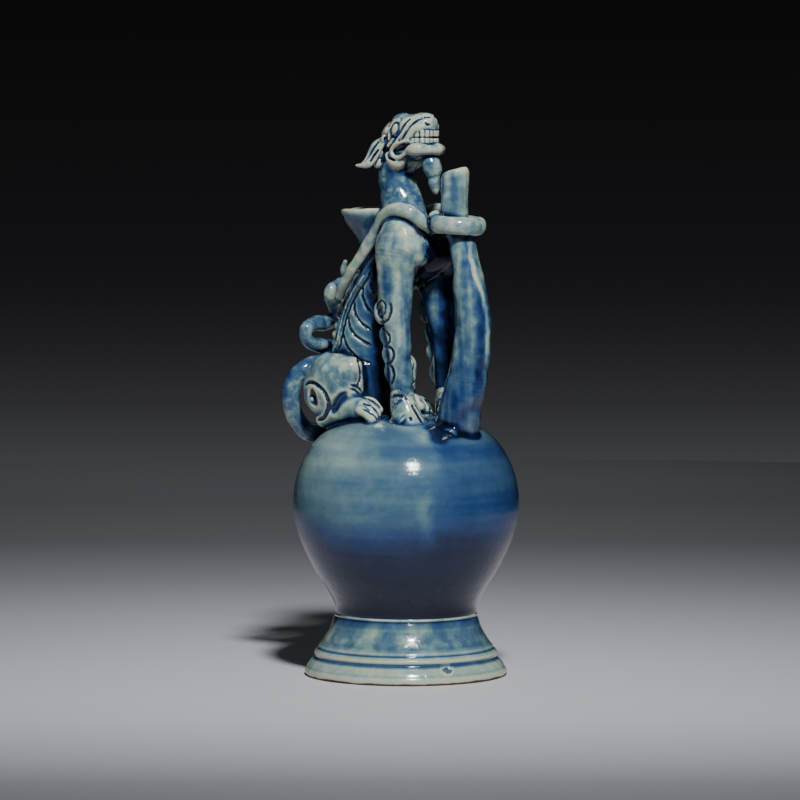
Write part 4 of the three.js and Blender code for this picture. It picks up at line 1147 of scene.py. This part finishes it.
class Wiring:
    """A short way to place and join a node tree's nodes."""

    def __init__(self, tree):
        self.tree = tree

    def node(self, kind, inputs=None, **settings):
        node = self.tree.nodes.new(kind)
        for name, value in settings.items():
            setattr(node, name, value)
        for socket, value in (inputs or {}).items():
            self.join(value, node.inputs[socket])
        return node

    def join(self, value, socket):
        if isinstance(value, bpy.types.NodeSocket):
            self.tree.links.new(value, socket)
        else:
            socket.default_value = value

    def math(self, operation, *values):
        return self.node("ShaderNodeMath", dict(enumerate(values)), operation=operation).outputs[0]

    def between(self, value, low, high, start=0.0, stop=1.0):
        """A smooth fade."""
        sockets = {0: value, 1: low, 2: high, 3: start, 4: stop}
        return self.node("ShaderNodeMapRange", sockets, interpolation_type="SMOOTHSTEP").outputs[0]

    def noise(self, place, scale, detail=2.0, distortion=0.0, stretch=(1, 1, 1)):
        """Noise about zero."""
        spot = self.node("ShaderNodeMapping", {"Vector": place, "Scale": stretch}).outputs[0]
        sockets = {"Vector": spot, "Scale": scale, "Detail": detail, "Distortion": distortion}
        return self.math("SUBTRACT", self.node("ShaderNodeTexNoise", sockets).outputs["Fac"], 0.5)

    def mix(self, share, one, two, blend_type="MIX"):
        """Blends two colours, whose sockets come after those for numbers and vectors."""
        node = self.node("ShaderNodeMix", data_type="RGBA", blend_type=blend_type)
        self.join(share, node.inputs[0])
        self.join(one, node.inputs[6])
        self.join(two, node.inputs[7])
        return node.outputs[2]

    def ramp(self, value, places, colours):
        node = self.node("ShaderNodeValToRGB", {0: value})
        stops = node.color_ramp.elements
        while len(stops) < len(places):
            stops.new(0.5)
        for stop, place, colour in zip(stops, places, colours):
            stop.position = place
            stop.color = (*colour[:3], 1)
        return node.outputs[0]

    def graph(self, value, rows, most=1.0):
        """A level read off rows of places and levels, straight between them. No level passes the most."""
        first, last = rows[0][0], rows[-1][0]
        share = self.node("ShaderNodeMapRange", {0: value, 1: first, 2: last}).outputs[0]
        places = [(place - first) / (last - first) for place, _ in rows]
        greys = [(level / most,) * 3 for _, level in rows]
        return self.math("MULTIPLY", self.ramp(share, places, greys), most)

    def coordinate(self, place, axis):
        return self.node("ShaderNodeSeparateXYZ", {0: place}).outputs[axis]

    def along(self, place, east, north):
        """How far a place lies in a level direction."""
        x, y = (self.coordinate(place, axis) for axis in "XY")
        return self.math("MULTIPLY_ADD", x, east, self.math("MULTIPLY", y, north))

    def distance(self, place, point):
        """How far a place lies from a point in millimetres."""
        sockets = {0: place, 1: tuple(v * MM for v in point)}
        return self.node("ShaderNodeVectorMath", sockets, operation="DISTANCE").outputs["Value"]


def flowing_glaze():
    """The glaze that ran in the kiln: its colour follows how thick it lies, and its More input also carries
    painted shade.
    """
    title = "flowing glaze"
    if title in bpy.data.node_groups:
        return bpy.data.node_groups[title]
    tree = bpy.data.node_groups.new(title, "ShaderNodeTree")
    for name in (*SETTINGS, "More"):
        tree.interface.new_socket(name, in_out="INPUT", socket_type="NodeSocketFloat")
    for name in ("Colour", "Roughness", "Height", "Coat"):
        kind = "NodeSocketColor" if name == "Colour" else "NodeSocketFloat"
        tree.interface.new_socket(name, in_out="OUTPUT", socket_type=kind)
    w = Wiring(tree)
    into, out = w.node("NodeGroupInput").outputs, w.node("NodeGroupOutput").inputs
    place = w.node("ShaderNodeTexCoord").outputs["Object"]
    pattern = {name: w.noise(place, *settings) for name, settings in PATTERNS.items()}
    fine, broad = (w.node("ShaderNodeAttribute", attribute_name=name).outputs["Fac"]
                   for name in RELIEF_REACHES)
    mottled = w.math("MULTIPLY_ADD", pattern["speck"], SPECK_SHARE, pattern["broad"])
    mottled = w.math("MULTIPLY_ADD", pattern["patch"], PATCH_SHARE, mottled)
    thick = w.math("ADD", into["Thickness"], into["More"])
    for varied, setting, gain in ((mottled, "Mottle", MOTTLE_GAIN), (pattern["runs"], "Runs", RUN_GAIN),
                                  (pattern["bands"], "Bands", BAND_GAIN)):
        thick = w.math("MULTIPLY_ADD", varied, w.math("MULTIPLY", into[setting], gain), thick)
    sunk = w.math("MINIMUM", w.math("ADD", broad, HOLLOW_FROM), 0.0)
    proud = w.math("MULTIPLY_ADD", fine, EDGE_GAIN, w.math("MULTIPLY", sunk, HOLLOW_GAIN))
    proud = w.math("MAXIMUM", w.math("MINIMUM", proud, PROUD_RANGE[1]), PROUD_RANGE[0])
    thick = w.math("SUBTRACT", thick, w.math("MULTIPLY", proud, into["Relief"]))
    colours = bpy.context.scene.ewer_colours
    shade = w.ramp(thick, SHADES.values(), [getattr(colours, name) for name in SHADES])
    greener = w.math("MULTIPLY", w.between(pattern["green"], *GREEN_FADE), into["Green"])
    w.join(w.mix(greener, shade, w.mix(1.0, shade, GREEN_TINT, "MULTIPLY")), out["Colour"])
    rough = w.between(thick, *ROUGH_FADE)
    w.join(w.math("MULTIPLY_ADD", pattern["patch"], ROUGH_PATCHES, rough), out["Roughness"])
    height = 0.0
    for name, share in BUMP_SHARES.items():
        height = w.math("MULTIPLY_ADD", pattern[name], share, height)
    w.join(height, out["Height"])
    w.join(w.between(thick, *COAT_FADE), out["Coat"])
    return tree


def column_distance(w, measures):
    return w.math("ABSOLUTE", w.math("SUBTRACT", measures["wander"], JAR_COLUMN))


def run_distance(w, measures):
    """How far a place on the spout lies from the pale run that winds down it."""
    line = w.graph(measures["height"], RUN_LINE, RUN_LINE_MOST)
    return w.math("ABSOLUTE", w.math("SUBTRACT", measures["waver"], line))


def wavered(name, amount, *pattern):
    """A measure that wavers by this many metres, in a pattern like those of PATTERNS."""
    return lambda w, measures: w.math("MULTIPLY_ADD", w.noise(measures["place"], *pattern), amount,
                                      measures[name])


MEASURE = {
    "place": lambda w, measures: w.node("ShaderNodeTexCoord").outputs["Object"],
    "ahead": lambda w, measures: w.coordinate(measures["place"], "X"),
    "left": lambda w, measures: w.coordinate(measures["place"], "Y"),
    "height": lambda w, measures: w.coordinate(measures["place"], "Z"),
    "across": lambda w, measures: w.along(measures["place"], *ACROSS_VIEW),
    "waver": wavered("across", 0.002, 220, 1),
    "wander": wavered("across", 0.02, 70, 3, 0.6, (1, 1, 0.5)),
    "wavy height": wavered("height", 0.01, 40, 3, 0.4),
    "clay edge": wavered("height", 0.002, 160, 3),
    "patches": lambda w, measures: w.noise(measures["place"], 70, 3, 0.5),
    "from column": column_distance,
    "from pool": lambda w, measures: w.distance(measures["place"], POOL),
    "from run": run_distance,
    "chip": lambda w, measures: w.distance(measures["place"], RIM_CHIP),
    "from chip": wavered("chip", 0.004, 700, 2),
}


class Measures(dict):
    """What fades go by in one material, each made when it is first asked for."""

    def __init__(self, wiring):
        super().__init__()
        self.wiring = wiring

    def __missing__(self, name):
        self[name] = MEASURE[name](self.wiring, self)
        return self[name]


def glaze_for(node):
    """The glaze of a piece, from its own row of the table and its own effects."""
    kind = kind_of(node)
    title = "glaze " + kind.replace("_", " ")
    if title in bpy.data.materials:
        return bpy.data.materials[title]
    material = bpy.data.materials.new(title)
    material.use_nodes = True
    material.node_tree.nodes.clear()
    w = Wiring(material.node_tree)
    measures = Measures(w)
    thicker_and_painted_shade = w.graph(measures["wavy height"], JAR_LEVELS) if kind == "jar" else 0.0
    # the effects add glaze, and also painted shade where EFFECTS say so
    for fades in EFFECTS.get(kind, {}).values():
        effect = 1.0
        for measure, *fade in fades:
            effect = w.math("MULTIPLY", effect, w.between(measures[measure], *fade))
        thicker_and_painted_shade = w.math("ADD", thicker_and_painted_shade, effect)
    settings = {**dict(zip(SETTINGS, GLAZES[kind])), "More": thicker_and_painted_shade}
    glaze = w.node("ShaderNodeGroup", settings, node_tree=flowing_glaze())
    colour, rough, coat = (glaze.outputs[name] for name in ("Colour", "Roughness", "Coat"))
    if kind in DULL_CHEST:
        coat = w.math("MULTIPLY", coat, w.between(measures["ahead"], *DULL_CHEST[kind]))
    if kind == "foot":
        bare = w.between(measures["clay edge"], *BARE_FADE)
        colour = w.mix(bare, colour, (*bpy.context.scene.ewer_colours.clay, 1))
        rough = w.math("MULTIPLY_ADD", bare, BARE_ROUGHNESS, rough)
        coat = w.math("MULTIPLY", coat, w.math("SUBTRACT", 1.0, bare))
    bump = w.node("ShaderNodeBump", {"Height": glaze.outputs["Height"], **BUMP}).outputs[0]
    constants = JAR_SURFACE if kind == "jar" else SURFACE
    varied = {"Base Color": colour, "Roughness": rough, "Coat Weight": coat, "Normal": bump}
    shader = w.node("ShaderNodeBsdfPrincipled", {**varied, **constants})
    w.node("ShaderNodeOutputMaterial", {"Surface": shader.outputs[0]})
    return material


# What a user may change
class EwerSizes(bpy.types.PropertyGroup):
    body_cell: FloatProperty(name="Body modelling", description="How fine the beast's body is modelled",
                             default=0.0005, min=0.0003, max=0.002, precision=5, unit="LENGTH")
    head_cell: FloatProperty(name="Head modelling", description="How fine the head is modelled",
                             default=0.0003, min=0.0002, max=0.001, precision=5, unit="LENGTH")
    ring_height: FloatProperty(name="Throwing rings", description="How proud the potter's finger rings stand",
                               default=0.00002, min=0, max=0.0005, precision=5, unit="LENGTH")
    floor_width: FloatProperty(name="Floor width", description="How wide the round floor is", default=2.6,
                               min=2, unit="LENGTH")


def shade(name, description, value):
    return FloatVectorProperty(name=name, description=description, default=value, size=3, subtype="COLOR",
                               min=0, max=1)


class EwerColours(bpy.types.PropertyGroup):
    bare: shade("Thinnest glaze", "Colour where the glaze barely covers the clay", (0.62, 0.62, 0.5))
    cream: shade("Cream", "Colour of thin glaze on edges", (0.52, 0.6, 0.49))
    celadon: shade("Celadon", "Colour of thin glaze beside an edge", (0.34, 0.47, 0.44))
    mist: shade("Mist", "Colour of glaze that starts to turn blue", (0.17, 0.285, 0.335))
    steel: shade("Steel", "Colour of middling glaze", (0.062, 0.142, 0.24))
    cobalt: shade("Cobalt", "Colour of thick glaze", (0.021, 0.062, 0.19))
    navy: shade("Navy", "Colour of thick glaze in a hollow", (0.009, 0.02, 0.066))
    ink: shade("Ink", "Colour of the thickest glaze", (0.002, 0.005, 0.018))
    clay: shade("Bare clay", "Colour of the clay that the ewer stands on", (0.13, 0.07, 0.035))
    floor: shade("Floor", "Colour of the floor", (0.55, 0.555, 0.62))


class EwerLights(bpy.types.PropertyGroup):
    key: FloatProperty(name="Key light", description="Power of the main light, above the camera", default=2.2,
                       min=0, unit="POWER")
    fill: FloatProperty(name="Fill lights", description="Power of each weak light at the back", default=0.13,
                        min=0, unit="POWER")
    sky: FloatProperty(name="Surroundings", description="Brightness of the surroundings", default=0.01, min=0)


# Operators, one for each piece or group of like pieces
class ThrownPiece:
    """Shared by the operators that turn a piece on the wheel."""
    bl_options = {"REGISTER", "UNDO"}

    def execute(self, context):
        settle(turned_object(self.node, *self.body()), self.node)
        return {"FINISHED"}


class ModelledPieces:
    """Shared by the operators that model pieces of the beast."""
    bl_options = {"REGISTER", "UNDO"}

    def execute(self, context):
        for node in self.nodes:
            model(node)
        return {"FINISHED"}


class ThrowFoot(ThrownPiece, bpy.types.Operator):
    """Turns the flared foot with its ridges and grooves"""
    bl_idname = "ewer.throw_foot"
    bl_label = "Throw the foot"
    node = "foot"
    body = staticmethod(foot_body)


class ThrowJar(ThrownPiece, bpy.types.Operator):
    """Turns the round jar that carries the beast"""
    bl_idname = "ewer.throw_jar"
    bl_label = "Throw the jar"
    node = "jar"
    body = staticmethod(jar_body)


class ModelBody(ModelledPieces, bpy.types.Operator):
    """Models the torso, the neck and the crest along the back"""
    bl_idname = "ewer.model_body"
    bl_label = "Model the body"
    nodes = ("torso", "neck", "back_crest")


class ModelLegs(ModelledPieces, bpy.types.Operator):
    """Models the haunches, legs, paws and the tufts behind the forelegs"""
    bl_idname = "ewer.model_legs"
    bl_label = "Model the legs"
    nodes = tuple(paired(part, side) for side in SIDES
                  for part in ("haunch", "hind_paw", "foreleg", "fore_paw", "leg_tufts"))


class ModelTail(ModelledPieces, bpy.types.Operator):
    """Models the waving tail that climbs the back"""
    bl_idname = "ewer.model_tail"
    bl_label = "Model the tail"
    nodes = ("tail",)


class ModelSpout(ModelledPieces, bpy.types.Operator):
    """Models the spout, its tip and the collar that ties it to the chest"""
    bl_idname = "ewer.model_spout"
    bl_label = "Model the spout"
    nodes = ("spout", "spout_tip", "spout_collar")


class ModelStraps(ModelledPieces, bpy.types.Operator):
    """Models the straps over the shoulders"""
    bl_idname = "ewer.model_straps"
    bl_label = "Model the straps"
    nodes = ("shoulder_strap_right", "shoulder_strap_left")


class ModelFunnel(ModelledPieces, bpy.types.Operator):
    """Models the funnel that the ewer is filled through"""
    bl_idname = "ewer.model_funnel"
    bl_label = "Model the funnel"
    nodes = ("funnel",)


class ModelHead(ModelledPieces, bpy.types.Operator):
    """Models the head with its jaw, teeth, eyes and the knob on its forehead"""
    bl_idname = "ewer.model_head"
    bl_label = "Model the head"
    nodes = ("head", "lower_jaw", "forehead_knob", "upper_teeth", "lower_teeth", "eye_right", "eye_left")


class ModelMane(ModelledPieces, bpy.types.Operator):
    """Models the ears, the curls of the mane and the beard"""
    bl_idname = "ewer.model_mane"
    bl_label = "Model the mane"
    nodes = ("ear_right", "ear_left", "mane_curls_right", "mane_curls_left", "beard")


# The stage
FLOOR_SIDES = 96
FLOOR_ROUGHNESS = 0.6
FLOOR_SHADE = 0.97  # how dark the floor's faint patches are
FLOOR_PATCHES = (3, 2)
PATCH_FADE = (-0.3, 0.3)
# Painted pool of light on the floor: how bright its colour is, by metres from the ewer's axis toward the
# camera
FLOOR_PAINTED_LIGHT = [(-1.3, 1.46), (-0.93, 0.76), (-0.64, 0.56), (-0.41, 0.76), (-0.22, 1.06), (-0.05, 1.32),
               (0.1, 1.48), (0.16, 1.44), (0.22, 1.26), (0.27, 1.05), (0.33, 0.7), (0.6, 0.2), (1.0, 0.05)]
FLOOR_PAINTED_LIGHT_MOST = 1.5
# How bright the backdrop is, by how steeply up one looks
BACKDROP_TONES = [(-0.078, 0.098), (-0.063, 0.056), (-0.051, 0.035), (-0.039, 0.021), (-0.027, 0.016),
                  (-0.003, 0.012), (0.033, 0.008)]
HORIZON_FADE = (0.0, 0.2)  # how steeply up the surroundings reach their full brightness
HORIZON_SHARE = 0.55  # how bright they are below that
# Each light: degrees round from the camera, degrees up, metres away, metres wide, its spread in degrees, and
# whose power it has
LIGHTS = {"key light": (9, 46, 1.6, 0.2, 50, "key"), "left back light": (215, 50, 2, 1.2, 70, "fill"),
          "right back light": (145, 50, 2, 1.2, 70, "fill")}
LIT_POINT = Vector((0, 0, 0.16))


def lay_floor(scene):
    """A round pale floor whose colour carries a painted pool of light, darker as it runs away from the light.
    """
    radius = scene.ewer_sizes.floor_width / 2
    turns = np.linspace(0, 2 * math.pi, FLOOR_SIDES, endpoint=False)
    mesh = bpy.data.meshes.new("floor")
    corners = [(radius * math.cos(t), radius * math.sin(t), 0) for t in turns]
    mesh.from_pydata(corners, [], [tuple(range(FLOOR_SIDES))])
    floor = bpy.data.objects.new("floor", mesh)
    scene.collection.objects.link(floor)
    material = bpy.data.materials.new("pale floor")
    material.use_nodes = True
    shader = material.node_tree.nodes["Principled BSDF"]
    w = Wiring(material.node_tree)
    place = w.node("ShaderNodeTexCoord").outputs["Object"]
    pale = tuple(scene.ewer_colours.floor)
    patches = w.between(w.noise(place, *FLOOR_PATCHES), *PATCH_FADE)
    tinted = w.mix(patches, (*(FLOOR_SHADE * c for c in pale), 1), (*pale, 1))
    # painted pool of light: the floor's colour brightens and darkens with distance toward the camera
    painted_light = w.graph(w.along(place, *TOWARD_CAMERA), FLOOR_PAINTED_LIGHT, FLOOR_PAINTED_LIGHT_MOST)
    w.join(w.mix(1.0, tinted, painted_light, "MULTIPLY"), shader.inputs["Base Color"])
    shader.inputs["Roughness"].default_value = FLOOR_ROUGHNESS
    mesh.materials.append(material)


def set_surroundings(scene):
    """A dark backdrop that only the camera sees, and a faint even light from all round."""
    world = bpy.data.worlds.new("surroundings")
    world.use_nodes = True
    sky = world.node_tree.nodes["Background"]
    sky.inputs["Color"].default_value = (*scene.ewer_colours.floor, 1)
    w = Wiring(world.node_tree)
    upward = w.coordinate(w.node("ShaderNodeTexCoord").outputs["Generated"], "Z")
    seen = w.node("ShaderNodeLightPath").outputs["Is Camera Ray"]
    full = scene.ewer_lights.sky
    around = w.between(upward, *HORIZON_FADE, HORIZON_SHARE * full, full)
    around = w.math("MULTIPLY", around, w.math("SUBTRACT", 1.0, seen))
    backdrop = w.math("MULTIPLY", seen, w.graph(upward, BACKDROP_TONES))
    w.join(w.math("ADD", backdrop, around), sky.inputs["Strength"])
    scene.world = world


def hang_lights(scene):
    for title, (turn, rise, away, width, spread, power) in LIGHTS.items():
        lamp = bpy.data.lights.new(title, "AREA")
        lamp.shape = "DISK"
        lamp.energy = getattr(scene.ewer_lights, power)
        lamp.size = width
        lamp.spread = math.radians(spread)
        spot = bpy.data.objects.new(title, lamp)
        turn, rise = VIEW_AZIMUTH + math.radians(turn), math.radians(rise)
        aim = Vector((math.sin(turn) * math.cos(rise), -math.cos(turn) * math.cos(rise), math.sin(rise)))
        spot.location = LIT_POINT + aim * away
        spot.rotation_euler = aim.to_track_quat("Z", "Y").to_euler()
        scene.collection.objects.link(spot)


def set_camera(scene):
    """A camera at the photograph's viewing angle."""
    camera = bpy.data.objects.new("camera", bpy.data.cameras.new("camera"))
    camera.location = VIEW_EYE * MM
    camera.rotation_euler = (math.pi / 2 - VIEW_PITCH, 0, VIEW_AZIMUTH + VIEW_YAW)
    camera.data.sensor_width = SENSOR
    camera.data.lens = SENSOR * VIEW_FOCAL / VIEW_PIXELS
    scene.collection.objects.link(camera)
    scene.camera = camera


class SetStage(bpy.types.Operator):
    """Sets the pale floor, the soft lights and the camera"""
    bl_idname = "ewer.set_stage"
    bl_label = "Set the stage"

    def execute(self, context):
        for step in (lay_floor, set_surroundings, hang_lights, set_camera):
            step(context.scene)
        return {"FINISHED"}


OPERATORS = (ThrowFoot, ThrowJar, ModelBody, ModelLegs, ModelTail, ModelSpout, ModelStraps, ModelFunnel,
             ModelHead, ModelMane, SetStage)


class EwerPanel(bpy.types.Panel):
    """Lists the ewer's pieces and settings"""
    bl_idname = "VIEW3D_PT_ewer"
    bl_label = "Qilin ewer"
    bl_space_type = "VIEW_3D"
    bl_region_type = "UI"
    bl_category = "Ewer"

    def draw(self, context):
        for group in GROUPS:
            box = self.layout.box()
            for name in GROUPS[group].__annotations__:
                box.prop(getattr(context.scene, group), name)
        for operator in OPERATORS:
            self.layout.operator(operator.bl_idname)


GROUPS = {"ewer_sizes": EwerSizes, "ewer_colours": EwerColours, "ewer_lights": EwerLights}
CLASSES = (*GROUPS.values(), *OPERATORS, EwerPanel)


def register():
    for kind in CLASSES:
        bpy.utils.register_class(kind)
    for name, group in GROUPS.items():
        setattr(bpy.types.Scene, name, PointerProperty(type=group))


def unregister():
    for name in GROUPS:
        delattr(bpy.types.Scene, name)
    for kind in reversed(CLASSES):
        bpy.utils.unregister_class(kind)


def main():
    register()
    for operator in OPERATORS:
        family, name = operator.bl_idname.split(".")
        getattr(getattr(bpy.ops, family), name)()


if __name__ == "__main__":
    main()
